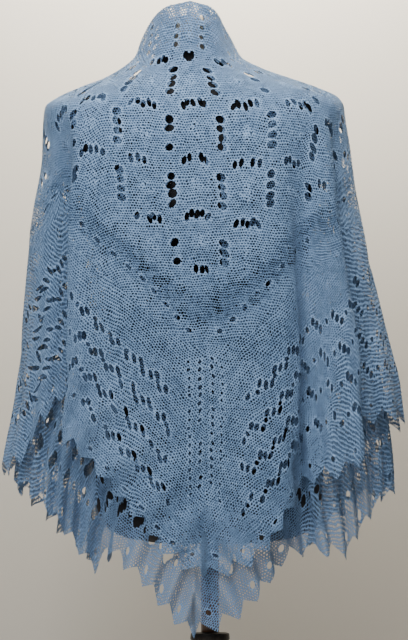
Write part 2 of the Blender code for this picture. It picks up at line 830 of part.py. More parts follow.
def centre_piece(name, layer, material):
    """The lattice centre of one layer, from the fold line down to the borders."""
    inset = BORDER_DEPTH + SEAM / 2
    fold_y = layer * FOLD_SEAM
    fold_end = HALF_DIAGONAL - inset * math.sqrt(2) - (fold_y + FOLD_OFFSET)
    marks = [x for x in fold_marks(0.0, CENTRE_FOLD) if x < fold_end - CORNER_CLEAR]
    fold = [(-x, fold_y) for x in reversed(marks[1:])] + [(x, fold_y) for x in marks]
    seam = seam_points(inset, layer)
    if layer > 0:
        seam = [p for p in seam if p[1] > ROLL / 4]
    else:
        left, right = fold_crossings(inset)
        seam = [p for p in reversed(left) if p[1] < -ROLL / 4] + seam
        seam += [p for p in reversed(right) if p[1] < -ROLL / 4]
    outline = [(-fold_end, fold_y)] + fold + [(fold_end, fold_y)] + seam[::-1]
    fill = fold_points(0.0, CENTRE_FOLD) + inner_points(BORDER_DEPTH, CENTRE_DEPTH, ROW, layer, LEAST_IN_CENTRE)
    holes = lattice_holes() + boundary_holes() if layer > 0 else []
    return wall_object(name, outline, fill, holes, material)


def clear_of_corners(x, y):
    return abs(x) > CORNER_CLEAR and abs(y + FOLD_OFFSET) > CORNER_CLEAR


def border_piece(name, side, layer, material):
    inner = seam_points(BORDER_DEPTH - SEAM / 2, layer, (side,))
    outer = seam_points(EDGING_DEPTH + SEAM / 2, layer, (side,))
    gap = SEAM / 2
    spine_x = side * gap
    inner = [p for p in inner if clear_of_corners(*p)]
    outer = [p for p in outer if clear_of_corners(*p)]
    if side > 0:
        inner.reverse()
        outer.reverse()
    # Both lines now run from the side corner to the spine.
    side_y = -FOLD_OFFSET + layer * gap
    corner_in = HALF_DIAGONAL - (BORDER_DEPTH - SEAM / 2) * math.sqrt(2) - gap
    corner_out = HALF_DIAGONAL - (EDGING_DEPTH + SEAM / 2) * math.sqrt(2) - gap
    spine_in = (spine_x, layer * corner_in - FOLD_OFFSET)
    spine_out = (spine_x, layer * corner_out - FOLD_OFFSET)
    across = [(side * x, side_y) for x in rows_between(corner_out, corner_in, FOLD_ROW)]
    down = [(spine_x, layer * v - FOLD_OFFSET) for v in rows_between(corner_in, corner_out, ROW)]
    outline = [(side * corner_out, side_y)] + across + [(side * corner_in, side_y)] + inner
    outline += [spine_in] + down + [spine_out] + outer[::-1]
    fill = inner_points(EDGING_DEPTH, BORDER_DEPTH, BORDER_ROW if layer > 0 else ROW, layer, LEAST_IN_BORDER)
    fill = [(x, y) for x, y in fill if x * side > 0]
    if layer > 0:
        fill += fold_points(corner_in - FOLD_MORE, corner_out + FOLD_MORE)
    holes = border_holes(side) if layer > 0 else []
    return wall_object(name, outline, fill, holes, material)


def edging_piece(name, layer, material):
    seam = seam_points(EDGING_DEPTH - SEAM / 2, layer)
    gap = SEAM / 2
    side_y = -FOLD_OFFSET + layer * gap
    corner = HALF_DIAGONAL - (EDGING_DEPTH - SEAM / 2) * math.sqrt(2) - gap
    seam = [(x, y) for x, y in seam if abs(y + FOLD_OFFSET) > CORNER_CLEAR]
    seam = [(-corner, side_y)] + seam + [(corner, side_y)]
    hem = zigzag(layer)
    hem[0] = (hem[0][0] + gap, side_y)
    hem[-1] = (hem[-1][0] - gap, side_y)
    outline = seam + hem[::-1]
    fill = fold_points(HALF_DIAGONAL - HEM_FOLD_IN, HALF_DIAGONAL + HEM_FOLD_OUT) if layer > 0 else []
    return wall_object(name, outline, fill, edging_holes(layer), material)


# The form and its stand

def torso_piece(material):
    mesh = bmesh.new()
    rings = []
    for height, left, right, behind, front, centre in TORSO:
        row = []
        for k in range(TORSO_AROUND):
            angle = 2 * math.pi * k / TORSO_AROUND
            wide = right if math.sin(angle) > 0 else left
            deep = behind if math.cos(angle) > 0 else front
            power = 2.0 + 0.35 * float(smooth((1370 - height) / 50))
            reach = (abs(math.sin(angle) / wide) ** power + abs(math.cos(angle) / deep) ** power) ** (-1 / power)
            row.append(mesh.verts.new(Vector((
                centre + reach * math.sin(angle), -reach * math.cos(angle), height)) / 1000))
        rings.append(row)
    for upper, lower in zip(rings, rings[1:]):
        for k in range(TORSO_AROUND):
            n = (k + 1) % TORSO_AROUND
            mesh.faces.new((upper[k], upper[n], lower[n], lower[k]))
    mesh.faces.new(rings[0])
    mesh.faces.new(rings[-1])
    bmesh.ops.recalc_face_normals(mesh, faces=mesh.faces)
    return finish("torso", mesh, material)


def turned(name, profile, material, x=0.0):
    """A profile turned round the pole's axis."""
    data = bpy.data.meshes.new(name)
    data.from_pydata([(r, 0, z) for r, z in profile], [(k, k + 1) for k in range(len(profile) - 1)], [])
    data.materials.append(material)
    thing = bpy.data.objects.new(name, data)
    thing.location.x = x
    SHAWL.objects.link(thing)
    turn = thing.modifiers.new("turn", "SCREW")
    turn.steps = ROUND_STEPS
    turn.render_steps = ROUND_STEPS
    turn.use_merge_vertices = True
    turn.merge_threshold = 0.00005
    return thing


def material(name, colour, roughness, metallic=0.0):
    made = bpy.data.materials.new(name)
    made.use_nodes = True
    shader = made.node_tree.nodes["Principled BSDF"]
    shader.inputs["Base Color"].default_value = (*colour, 1)
    shader.inputs["Roughness"].default_value = roughness
    shader.inputs["Metallic"].default_value = metallic
    made.diffuse_color = (*colour, 1)
    return made


for old in list(bpy.data.objects):
    bpy.data.objects.remove(old)
SHAWL = bpy.data.collections.new("lace shawl on a dress form")
bpy.context.scene.collection.children.link(SHAWL)

yarn = material("blue yarn", YARN, 0.9)
dark_cloth = material("dark cloth", DARK_CLOTH, 0.9)
pale_wood = material("pale wood", PALE_WOOD, 0.5)
brown_wood = material("brown wood", BROWN_WOOD, 0.3)
dark_metal = material("dark metal", DARK_METAL, 0.4, 1.0)

centre_piece("centre_upper", 1, yarn)
centre_piece("centre_under", -1, yarn)
border_piece("border_upper_left", -1, 1, yarn)
border_piece("border_upper_right", 1, 1, yarn)
border_piece("border_under_left", -1, -1, yarn)
border_piece("border_under_right", 1, -1, yarn)
edging_piece("edging_upper", 1, yarn)
edging_piece("edging_under", -1, yarn)
torso_piece(dark_cloth)
turned("neck_cap", NECK_CAP_PROFILE, pale_wood, NECK_CAP_X)
turned("pole", POLE_PROFILE, brown_wood)
turned("collar", COLLAR_PROFILE, dark_metal)
turned("lower_pole", LOWER_PROFILE, brown_wood)
turned("base", BASE_PROFILE, dark_metal)
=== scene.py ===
# The looks of the lace shawl on its dress form: yarn, lace, creases, stand, room and camera.
# Metres, Z up. The wearer's back faces -Y.

import math

import bmesh
import bpy
import numpy as np
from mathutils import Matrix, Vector
from mathutils.geometry import delaunay_2d_cdt


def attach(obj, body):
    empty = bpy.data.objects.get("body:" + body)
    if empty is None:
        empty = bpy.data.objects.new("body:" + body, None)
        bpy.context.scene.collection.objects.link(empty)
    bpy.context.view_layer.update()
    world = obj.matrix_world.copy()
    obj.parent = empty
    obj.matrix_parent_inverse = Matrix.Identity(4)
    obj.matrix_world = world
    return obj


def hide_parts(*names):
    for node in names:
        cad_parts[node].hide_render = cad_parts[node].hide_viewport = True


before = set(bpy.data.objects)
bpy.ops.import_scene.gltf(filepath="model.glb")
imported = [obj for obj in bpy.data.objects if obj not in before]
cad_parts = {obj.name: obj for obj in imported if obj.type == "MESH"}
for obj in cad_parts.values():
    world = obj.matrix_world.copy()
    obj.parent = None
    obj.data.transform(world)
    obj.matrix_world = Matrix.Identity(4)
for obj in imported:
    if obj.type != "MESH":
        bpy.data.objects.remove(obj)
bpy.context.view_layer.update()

# Heights are tabled in steps of 1.32 mm down from the top of the neck, and widths in the same steps.
STEP = 0.00132
TOP_Z = 1.4426
AXIS = 210.0
MM = 1000

# The flat shawl: a square whose fold line lies 39 mm off its diagonal.
FOLD_OFFSET = 0.039
HALF_DIAGONAL = 0.799
BORDER_DEPTH = 0.210
EDGING_DEPTH = 0.042
POINT_DEPTH = 0.015
POINT_PITCH = 0.033
ROOT_TWO = math.sqrt(2)
SIDE = HALF_DIAGONAL * ROOT_TWO
FINE_MARKS = 1601
OUTER_REACH = HALF_DIAGONAL - FOLD_OFFSET
INNER_REACH = HALF_DIAGONAL + FOLD_OFFSET
NECK_HALF = 0.100
NECK_POWER = 4.0

# The roll at the fold and the space between the layers.
ROLL = 0.006
FOLD_BAND = 0.012
FRONT_GAP = 0.004
LAYER_GAP = 0.0080
MORE_GAP = 0.005
SLOPE_DROP = 0.006

# Sections of the cloth: height step, left edge, centre, right edge, depth behind and in front in mm.
SECTIONS = (
    # step, left, centre, right, behind, front
    (0, 150, 190, 229, 50, 50),
    (20, 147, 190, 229, 54, 52),
    (40, 141, 189, 233, 58, 55),
    (57, 135, 189, 241, 63, 58),
    (68, 122, 190, 261, 72, 61),
    (78, 105, 191, 288, 82, 65),
    (88, 80, 192, 318, 92, 70),
    (97, 59, 193, 338, 99, 76),
    (107, 45, 194, 344, 104, 82),
    (125, 43, 195, 345.5, 109, 90),
    (156, 43, 196, 349.5, 115, 97),
    (206, 35, 198, 356.5, 120, 104),
    (260, 29, 202, 367, 123, 108),
    (320, 24, 206, 379, 125, 109),
    (398, 18, 208, 394, 126, 108),
    (480, 5, 208, 401, 126, 105),
    (640, 0, 208, 404, 126, 100),
)

# The fold line round the neck: distance from the back in mm, and its height step on each side.
NECK_LINE = (
    # distance, left, right
    (0, 2, 2),
    (35, 6, 7),
    (70, 19, 29),
    (88, 36, 42),
    (100, 52, 53),
)

# Where each fall line starts round the neck and leaves the shoulder, in degrees from the back.
FALL = (
    # share, neck, shoulder
    (0.00, 0, 0),
    (0.06, 19, 22),
    (0.12, 37, 40),
    (0.18, 52, 53),
    (0.25, 65, 62),
    (0.34, 76, 68),
    (0.44, 84, 74),
    (0.55, 90, 83),
    (0.70, 94, 97),
    (0.85, 97, 112),
    (1.00, 100, 126),
)

# The outer hem: share of the hem from the back corner, sideways step, depth in mm, height step.
OUTER_HEM = (
    # share, across, depth, height
    (-1.00, 112, 92, 512),
    (-0.93, 92, 112, 506),
    (-0.86, 76, 82, 494),
    (-0.79, 55, 84, 481),
    (-0.73, 40, 50, 471),
    (-0.67, 17, 34, 468),
    (-0.61, 5, 2, 474),
    (-0.56, 5, -34, 476),
    (-0.51, 20, -64, 464),
    (-0.46, 46, -78, 420),
    (-0.415, 72, -80, 396),
    (-0.375, 93, -85, 402),
    (-0.345, 99, -94, 412),
    (-0.315, 87, -102, 425),
    (-0.280, 70, -106, 438),
    (-0.250, 64, -119, 446),
    (-0.215, 76, -127, 452),
    (-0.155, 108, -128, 487),
    (-0.10, 143, -126, 528),
    (-0.05, 173, -124, 562),
    (0.00, 204, -124, 577),
    (0.05, 238, -126, 572),
    (0.10, 266, -126, 552),
    (0.135, 284, -123, 524),
    (0.165, 292, -110, 506),
    (0.195, 289, -95, 500),
    (0.225, 297, -86, 492),
    (0.26, 312, -97, 484),
    (0.31, 334, -108, 479),
    (0.35, 357, -104, 468),
    (0.385, 362, -90, 455),
    (0.415, 350, -80, 440),
    (0.45, 352, -68, 430),
    (0.49, 374, -60, 424),
    (0.54, 397, -38, 421),
    (0.60, 402, 0, 428),
    (0.66, 389, 36, 440),
    (0.72, 362, 48, 452),
    (0.78, 350, 82, 466),
    (0.85, 326, 80, 478),
    (0.92, 314, 110, 490),
    (1.00, 294, 92, 498),
)

# The inner hem, with the same columns.
INNER_HEM = (
    # share, across, depth, height
    (-1.00, 108, 81, 569),
    (-0.93, 91, 97, 562),
    (-0.86, 80, 68, 552),
    (-0.79, 62, 72, 538),
    (-0.72, 46, 42, 520),
    (-0.65, 24, 18, 500),
    (-0.57, 18, -22, 492),
    (-0.49, 36, -52, 500),
    (-0.41, 58, -66, 526),
    (-0.33, 78, -69, 552),
    (-0.275, 97, -72, 573),
    (-0.245, 107, -79, 562),
    (-0.215, 113, -97, 560),
    (-0.185, 124, -107, 568),
    (-0.14, 144, -113, 586),
    (-0.07, 168, -114, 615),
    (0.00, 194, -114, 636),
    (0.08, 237, -114, 619),
    (0.14, 262, -108, 592),
    (0.19, 276, -86, 572),
    (0.24, 296, -70, 556),
    (0.30, 320, -80, 556),
    (0.36, 342, -62, 560),
    (0.43, 360, -49, 536),
    (0.50, 379, -36, 508),
    (0.57, 391, -8, 494),
    (0.65, 382, 22, 498),
    (0.72, 356, 36, 508),
    (0.79, 340, 68, 522),
    (0.86, 320, 68, 536),
    (0.93, 312, 95, 546),
    (1.00, 297, 81, 552),
)
FOLD_START = 96.0
FOLD_POWER = 0.85


# Curves through tables

def curve(at, places, values):
    """A smooth curve through the values, without overshoot."""
    places = np.asarray(places, float)
    values = np.asarray(values, float)
    rise = np.diff(values) / np.diff(places)
    slope = np.zeros_like(values)
    same = rise[1:] * rise[:-1] > 0
    inner = 2 * rise[1:] * rise[:-1] / np.where(same, rise[1:] + rise[:-1], 1.0)
    slope[1:-1] = np.where(same, inner, 0.0)
    slope[0] = rise[0]
    slope[-1] = rise[-1]
    return hermite(at, places, values, slope)


def round_curve(at, places, values):
    """A rounder curve through the values, for the folds."""
    places = np.asarray(places, float)
    values = np.asarray(values, float)
    slope = np.gradient(values, places)
    return hermite(at, places, values, slope)


def hermite(at, places, values, slope):
    at = np.clip(at, places[0], places[-1])
    cell = np.clip(np.searchsorted(places, at, side="right") - 1, 0, len(places) - 2)
    width = places[cell + 1] - places[cell]
    t = (at - places[cell]) / width
    start = values[cell] * (2 * t**3 - 3 * t**2 + 1) + slope[cell] * width * (t**3 - 2 * t**2 + t)
    end = values[cell + 1] * (3 * t**2 - 2 * t**3) + slope[cell + 1] * width * (t**3 - t**2)
    return start + end


def column(table, index):
    return np.array([row[index] for row in table], float)


def read(at, table, index, through=curve):
    """A column of a table, read by a curve at places in its first column."""
    return through(at, column(table, 0), column(table, index))


# The drape: from the flat cloth to its place on the form

def neck_start(share):
    return NECK_HALF * np.sign(share) * (1 - (1 - np.abs(share)) ** NECK_POWER)


def line_step(share):
    """Height step of the fold line where a fall line starts."""
    along = np.abs(neck_start(share)) * MM
    return np.where(share < 0, read(along, NECK_LINE, 1), read(along, NECK_LINE, 2))


def hem_point(share, hem):
    across = read(share, hem, 1, round_curve)
    depth = read(share, hem, 2, round_curve)
    return (across - AXIS) * STEP, depth / MM, read(share, hem, 3)


def smooth(t):
    t = np.clip(t, 0, 1)
    return t * t * (3 - 2 * t)


def eased(value, start, run):
    """A smooth rise from 0 to 1 over a run from the start, or a fall towards it where the run is negative."""
    return smooth((value - start) / run)


# Where each easing starts and how far it runs, in height steps, and in shares of the hem for the front
SHOULDER_EASE = (50, 60)
SQUARE_EASE = (60, 60)
GAP_EASE = (100, 120)
DROP_IN = (45, 20)
DROP_OUT = (130, -30)
FRONT_EASE = (0.7, 0.25)
ROUND_POWER = 2.0
SQUARE_MORE = 0.5
FOLD_EASE = 8


def ring(share, step, inset):
    """A point of the smooth section round the body, before its folds."""
    centre = read(step, SECTIONS, 2)
    left = (centre - read(step, SECTIONS, 1)) * STEP
    right = (read(step, SECTIONS, 3) - centre) * STEP
    behind = read(step, SECTIONS, 4) / MM
    front = read(step, SECTIONS, 5) / MM
    neck = read(np.abs(share), FALL, 1)
    shoulder = read(np.abs(share), FALL, 2)
    angle = np.radians(neck + (shoulder - neck) * eased(step, *SHOULDER_EASE)) * np.sign(share)
    wide = np.where(share < 0, left, right) - inset
    deep = np.where(np.cos(angle) > 0, behind, front) - inset
    power = ROUND_POWER + SQUARE_MORE * eased(step, *SQUARE_EASE)
    reach = (np.abs(np.sin(angle) / wide) ** power + np.abs(np.cos(angle) / deep) ** power) ** (-1 / power)
    return (centre - AXIS) * STEP + reach * np.sin(angle), -reach * np.cos(angle)


def place(share, step, layer):
    """A point of one layer of the cloth, with its folds."""
    hem = OUTER_HEM if layer > 0 else INNER_HEM
    front = FRONT_GAP * eased(np.abs(share), *FRONT_EASE)
    inset = 0.0 if layer > 0 else LAYER_GAP + front + MORE_GAP * eased(step, *GAP_EASE)
    x, y = ring(share, step, inset)
    hem_x, hem_y, hem_step = hem_point(share, hem)
    base_x, base_y = ring(share, hem_step, 0.0 if layer > 0 else LAYER_GAP + front + MORE_GAP)
    full_step = hem_point(share, OUTER_HEM)[2]
    fall = np.clip((step - FOLD_START) / (full_step - FOLD_START), 0, 1)
    grown = fall**FOLD_POWER * smooth(fall * FOLD_EASE)
    x = x + (hem_x - base_x) * grown
    y = y + (hem_y - base_y) * grown
    sunk = 0.0 if layer > 0 else SLOPE_DROP * eased(step, *DROP_IN) * eased(step, *DROP_OUT)
    return np.stack([x, y, TOP_Z - step * STEP - sunk], axis=-1)


PATH_SHARES = np.linspace(-1, 1, 801)
PATH_MARKS = 161
PLACE_MARKS = 241
HALVINGS = 36


def path_table(layer):
    """For each fall line, the height steps at even distances along it."""
    hem = OUTER_HEM if layer > 0 else INNER_HEM
    top = line_step(PATH_SHARES)
    low = hem_point(PATH_SHARES, hem)[2]
    mark = np.linspace(0, 1, PLACE_MARKS)
    steps = top[:, None] + (low - top)[:, None] * mark[None, :]
    points = place(PATH_SHARES[:, None] + 0 * steps, steps, layer)
    length = np.zeros(steps.shape)
    length[:, 1:] = np.cumsum(np.linalg.norm(np.diff(points, axis=1), axis=2), axis=1)
    even = np.linspace(0, 1, PATH_MARKS)
    rows = [np.interp(even, length[i] / length[i, -1], steps[i]) for i in range(len(PATH_SHARES))]
    return np.array(rows)


TABLES = {1: path_table(1), -1: path_table(-1)}


def blend(table, i, j):
    """A value between the four nearest ones of a table."""
    i0 = np.clip(i.astype(int), 0, len(table) - 2)
    j0 = np.clip(j.astype(int), 0, len(table[0]) - 2)
    fi = i - i0
    fj = j - j0
    upper = table[i0, j0] * (1 - fj) + table[i0, j0 + 1] * fj
    lower = table[i0 + 1, j0] * (1 - fj) + table[i0 + 1, j0 + 1] * fj
    return upper * (1 - fi) + lower * fi


def step_at(share, along, layer):
    """The height step at a part of the way down a fall line."""
    i = (np.clip(share, -1, 1) + 1) / 2 * (len(PATH_SHARES) - 1)
    return blend(TABLES[layer], i, np.clip(along, 0, 1) * (PATH_MARKS - 1))


def fall_line(x, y, reach):
    """Which fall line a flat point is on, and how far down it as a share of its length."""
    size = np.abs(x)
    low = np.zeros_like(size)
    high = np.ones_like(size)
    for _ in range(HALVINGS):
        mid = (low + high) / 2
        start = neck_start(mid)
        across = mid * reach - start
        down = (1 - mid) * reach
        beyond = (size - start) * down - y * across > 0
        low = np.where(beyond, mid, low)
        high = np.where(beyond, high, mid)
    start = neck_start(mid)
    length = np.hypot(mid * reach - start, (1 - mid) * reach)
    gone = np.hypot(size - start, y)
    return mid * np.sign(x), gone / length


def layer_place(x, y, layer):
    reach = OUTER_REACH if layer > 0 else INNER_REACH
    share, along = fall_line(x, y, reach)
    return place(share, step_at(share, along, layer), layer)


def drape(x, y):
    """Flat cloth to its place: y is positive on the outer layer and negative on the inner one."""
    x = np.asarray(x, float)
    y = np.asarray(y, float)
    depth = np.abs(y)
    outer = layer_place(x, depth, 1)
    inner = layer_place(x, depth, -1)
    open_by = np.sqrt(np.clip(1 - (1 - np.clip(depth / ROLL, 0, 1)) ** 2, 0, 1)) * np.where(y < 0, -1, 1)
    return (outer + inner) / 2 + (outer - inner) / 2 * open_by[..., None]


WALL_NUDGE = 0.0015
NORMAL_NUDGE = 0.0012


def unit_normal(lay, x, y, d):
    """The unit normal of cloth laid by a map, from nudges either way."""
    normal = np.cross(lay(x, y + d) - lay(x, y - d), lay(x + d, y) - lay(x - d, y))
    return normal / np.linalg.norm(normal, axis=-1, keepdims=True)


# Flat layout of the lace and of the pieces

def depth_in(x, y):
    """Distance of a flat point from the hem line."""
    return (HALF_DIAGONAL - abs(x) - abs(y + FOLD_OFFSET)) / ROOT_TWO


# The lace in metres of flat cloth

CELL = 0.0038
FOLD_ROWS = (0.0, 0.0014, 0.0030, 0.0050, 0.0075)
HOLE_POINTS = 8
THICKNESS = 0.0009
SLIVER = 1e-6
HOLE_CLEAR = 0.0046
HOLE_ROOM = CELL * 0.38
HOLE_WINDOW = 2.5
EDGE_ROOM = CELL * 0.45
ROW_ROOM = CELL * 0.6
GRID_REACH = 1.2
FOLD_SIDE = 0.01
ROW_CLEAR = 0.001
NO_LENGTH = 1e-12
JOIN_WITHIN = 1e-7

# The lattice lines: distance from the spine as draped and in the flat cloth.
LATTICE_LINES = (
    # as draped, flat
    (0.000, 0.000),
    (0.035, 0.021),
    (0.105, 0.063),
    (0.175, 0.118),
    (0.245, 0.190),
    (0.315, 0.262),
    (0.385, 0.334),
    (0.455, 0.406),
)
LATTICE_STEP = 0.070
LATTICE_TALL = 0.072
LATTICE_ROWS = 9
LATTICE_COLUMNS = 6
CHAIN = 4
CHAIN_UP = 0.0118
CHAIN_ACROSS = 0.0080
CHAIN_ZIGZAG = 0.0016
UPRIGHT_OVAL = (0.0066, 0.0060)
LEVEL_OVAL = (0.0037, 0.0066)
LATTICE_EDGE = 0.279
NECK_LACE = 0.07
NECK_SHRINK = 0.62
NECK_CLEAR = 0.012
KNOT_EYELET = (0.0015, 0.0015)
KNOT_REACH = 0.0062
CLOSED_SHARE = 0.08
UNDER_EASE = 1.3

BOUNDARY_EYELET = 0.219
BOUNDARY_RISE = 0.020
BOUNDARY_SPREAD = 0.07
BOUNDARY_PITCH = 0.0245
BOUNDARY_OVAL = (0.0034, 0.0046)
BOUNDARY_TILT = math.radians(30)

FEATHER_ROWS = (0.058, 0.090, 0.122, 0.154)
FEATHER_PITCH = 0.0295
FEATHER_OVAL = (0.0033, 0.0068)
FEATHER_STEP = 0.0072
FEATHER_LINK = (0.0032, 0.0040)
FEATHER_TILT = math.radians(8)
FEATHER_CLEAR = 0.036
SIDE_CLEAR = 0.012

SPINE_COLUMNS = (
    # across, half width, half height, rise
    (-0.0165, 0.0023, 0.0026, 0.0),
    (-0.0055, 0.0030, 0.0034, 0.5),
    (0.0070, 0.0026, 0.0030, 0.0),
    (0.0160, 0.0020, 0.0022, 0.5),
)
SPINE_PITCH = 0.0106
SPINE_COUNT = 17
SPINE_FIRST = 0.8

EDGING_EYELET = 0.020
EDGING_CLEAR = 0.02
EDGING_OVAL = (0.0030, 0.0044)


def oval(x, y, size, turn=0.0):
    """A hole's outline round a flat point, its second size along the turned upright."""
    marks = [2 * math.pi * k / HOLE_POINTS for k in range(HOLE_POINTS)]
    wide = [size[0] * math.cos(a) for a in marks]
    tall = [size[1] * math.sin(a) for a in marks]
    c = math.cos(turn)
    s = math.sin(turn)
    return [(x + w * c - t * s, y + w * s + t * c) for w, t in zip(wide, tall)]


def near_neck(y):
    return abs(y) < NECK_CLEAR


def lattice_across(draped):
    """Flat distance from the spine of a place on the draped lattice."""
    lines = np.abs(draped)
    return float(np.sign(draped) * np.interp(lines, column(LATTICE_LINES, 0), column(LATTICE_LINES, 1)))


def lattice_lace():
    """Chains of ovals on the sides of the lattice cells, and a small knot in each cell."""
    found = []
    for j in range(-LATTICE_ROWS, LATTICE_ROWS):
        for i in range(-LATTICE_COLUMNS, LATTICE_COLUMNS):
            line = (i + 0.5) * LATTICE_STEP
            for k in range(CHAIN):
                up = (k - (CHAIN - 1) / 2) * CHAIN_UP
                found.append((lattice_across(line), (j + 0.5) * LATTICE_TALL + up, UPRIGHT_OVAL, 0.0))
            for k in range(CHAIN + 1):
                across = i * LATTICE_STEP + (k - CHAIN / 2) * CHAIN_ACROSS
                zigzag_up = CHAIN_ZIGZAG * (-1) ** k
                found.append((lattice_across(across), (j + 1.0) * LATTICE_TALL + zigzag_up, LEVEL_OVAL, 0.0))
            for turn in range(4):
                dx = KNOT_REACH * math.cos(turn * math.pi / 2)
                dy = KNOT_REACH * math.sin(turn * math.pi / 2)
                x = lattice_across(i * LATTICE_STEP + dx)
                found.append((x, (j + 0.5) * LATTICE_TALL + dy, KNOT_EYELET, 0.0))
    return [h for h in found if depth_in(h[0], h[1]) > LATTICE_EDGE and not near_neck(h[1])]


def side_point(along, inset, half, layer):
    """A flat point from its distance along one side from the back corner, and in from the hem."""
    x = half * (along - inset) / ROOT_TWO
    y = layer * (SIDE - along - inset) / ROOT_TWO - FOLD_OFFSET
    return x, y


def even_marks(inset, half, layer, pitch):
    """Places along a line of even depth at even distances once it is draped."""
    along = np.linspace(inset, SIDE - inset, FINE_MARKS)
    steps = np.diff(drape(*side_point(along, inset, half, layer)), axis=0)
    gone = np.concatenate([[0], np.cumsum(np.linalg.norm(steps, axis=1))])
    count = round(gone[-1] / pitch)
    return np.interp(np.linspace(0, gone[-1], count + 1), gone, along).tolist()


def boundary_lace():
    found = []
    for half in (-1, 1):
        for layer in (-1, 1):
            for along in even_marks(BOUNDARY_EYELET, half, layer, BOUNDARY_PITCH)[1:-1]:
                x = side_point(along, BOUNDARY_EYELET, half, layer)[0]
                inset = BOUNDARY_EYELET + BOUNDARY_RISE * float(smooth(abs(x) / BOUNDARY_SPREAD))
                x, y = side_point(along, inset, half, layer)
                if not near_neck(y):
                    found.append((x, y, BOUNDARY_OVAL, half * layer * BOUNDARY_TILT))
    return found


def border_lace(half, layer):
    """Feather rows of three long ovals and a link, and the eyelet columns beside the spine."""
    found = []
    tilt = half * layer * FEATHER_TILT
    for n, inset in enumerate(FEATHER_ROWS):
        marks = even_marks(inset, half, layer, FEATHER_PITCH / 2)
        for k, along in enumerate(marks[1:-1]):
            x, y = side_point(along, inset, half, layer)
            if (k + n) % 2:
                found.append((x, y, FEATHER_LINK, tilt))
                continue
            for step in (-1, 0, 1):
                found.append((x + step * FEATHER_STEP, y, FEATHER_OVAL, tilt))
    clear = [h for h in found if abs(h[0]) > FEATHER_CLEAR and layer * (h[1] + FOLD_OFFSET) > SIDE_CLEAR]
    top = HALF_DIAGONAL - BORDER_DEPTH * ROOT_TWO
    for across, wide, tall, rise in SPINE_COLUMNS:
        if across * half < 0:
            continue
        for k in range(SPINE_COUNT):
            down = top + (k + SPINE_FIRST + rise) * SPINE_PITCH
            clear.append((across, layer * down - FOLD_OFFSET, (wide, tall), 0.0))
    return [h for h in clear if not near_neck(h[1])]


def edging_lace(layer):
    found = []
    for half in (-1, 1):
        for along in even_marks(0.0, half, layer, POINT_PITCH)[1:-1]:
            x, y = side_point(along, EDGING_EYELET, half, layer)
            if not near_neck(y) and layer * (y + FOLD_OFFSET) > EDGING_CLEAR:
                found.append((x, y, EDGING_OVAL, half * layer * math.pi / 4))
    return found


LEAST_STRETCH = 0.4
MOST_STRETCH = 1.7
EASE = (0.84, 1.12)
SHIFT = 0.0005
TWIST = 0.12
NUDGE = 0.002
SEED = 11
SEED_SCALE = 1e4


def knitted(holes):
    """The holes as knitted: even once draped, each a little different, alike in both layers."""
    x = np.array([h[0] for h in holes])
    y = np.array([h[1] for h in holes])
    d = NUDGE
    across = np.linalg.norm(drape(x + d, y) - drape(x - d, y), axis=1) / (2 * d)
    down = np.linalg.norm(drape(x, y + d) - drape(x, y - d), axis=1) / (2 * d)
    across = np.clip(across, LEAST_STRETCH, MOST_STRETCH)
    down = np.clip(down, LEAST_STRETCH, MOST_STRETCH)
    found = []
    for k, (hx, hy, size, angle) in enumerate(holes):
        layer = math.copysign(1.0, hy)
        rng = np.random.default_rng([SEED, round((hx + 1) * SEED_SCALE), round(abs(hy) * SEED_SCALE)])
        ease = rng.uniform(*EASE, 2) * (NECK_SHRINK if abs(hy) < NECK_LACE else 1.0)
        shift = rng.normal(0, SHIFT, 2)
        turn = rng.normal(0, TWIST) * layer
        if rng.uniform() < CLOSED_SHARE:
            continue
        if layer < 0:
            ease *= UNDER_EASE
        sizes = (size[0] * ease[0] / across[k], size[1] * ease[1] / down[k])
        found.append((hx + shift[0], hy + layer * shift[1], sizes, angle + turn))
    return found


# Creases laid in on the flat cloth, outer layer and then inner
CREASES = (
    # from x, from y, to x, to y, width, height
    (0.105, 0.36, 0.118, 0.58, 0.010, 0.0026),
    (0.150, 0.22, 0.175, 0.50, 0.013, -0.0024),
    (0.215, 0.18, 0.250, 0.44, 0.012, 0.0022),
    (0.300, 0.10, 0.335, 0.36, 0.014, -0.0022),
    (0.370, 0.08, 0.410, 0.30, 0.012, 0.0020),
    (-0.120, 0.30, -0.150, 0.56, 0.012, 0.0024),
    (-0.185, 0.16, -0.215, 0.46, 0.014, -0.0024),
    (-0.255, 0.12, -0.285, 0.42, 0.011, 0.0022),
    (-0.330, 0.08, -0.370, 0.34, 0.013, -0.0020),
    (-0.430, 0.06, -0.470, 0.26, 0.012, 0.0022),
    (-0.050, 0.42, -0.020, 0.62, 0.016, 0.0014),
    (0.045, 0.40, 0.030, 0.60, 0.018, -0.0014),
    (-0.100, 0.10, -0.160, 0.22, 0.020, 0.0012),
    (0.090, 0.09, 0.150, 0.20, 0.020, 0.0012),
    (0.500, 0.06, 0.530, 0.20, 0.016, -0.0020),
    (-0.520, 0.05, -0.500, 0.22, 0.018, 0.0022),
    (-0.580, 0.04, -0.600, 0.14, 0.012, -0.0020),
    (0.620, 0.04, 0.640, 0.10, 0.010, 0.0018),
    (-0.140, -0.48, -0.160, -0.66, 0.014, 0.0022),
    (-0.050, -0.56, -0.060, -0.76, 0.015, -0.0016),
    (0.040, -0.58, 0.030, -0.78, 0.014, 0.0016),
    (0.130, -0.50, 0.150, -0.68, 0.013, -0.0022),
    (0.220, -0.42, 0.250, -0.58, 0.013, 0.0020),
    (-0.240, -0.40, -0.270, -0.56, 0.013, 0.0022),
    (0.360, -0.26, 0.400, -0.42, 0.013, -0.0020),
    (-0.380, -0.26, -0.420, -0.40, 0.013, -0.0020),
)
CREASE_DEPTH = 1.4
HEM_WAVE = 0.0030
UNDER_WAVE = 0.0022
WAVE_PITCH = 0.055
WAVE_DEPTH = 0.150
WAVE_FADE = 0.12
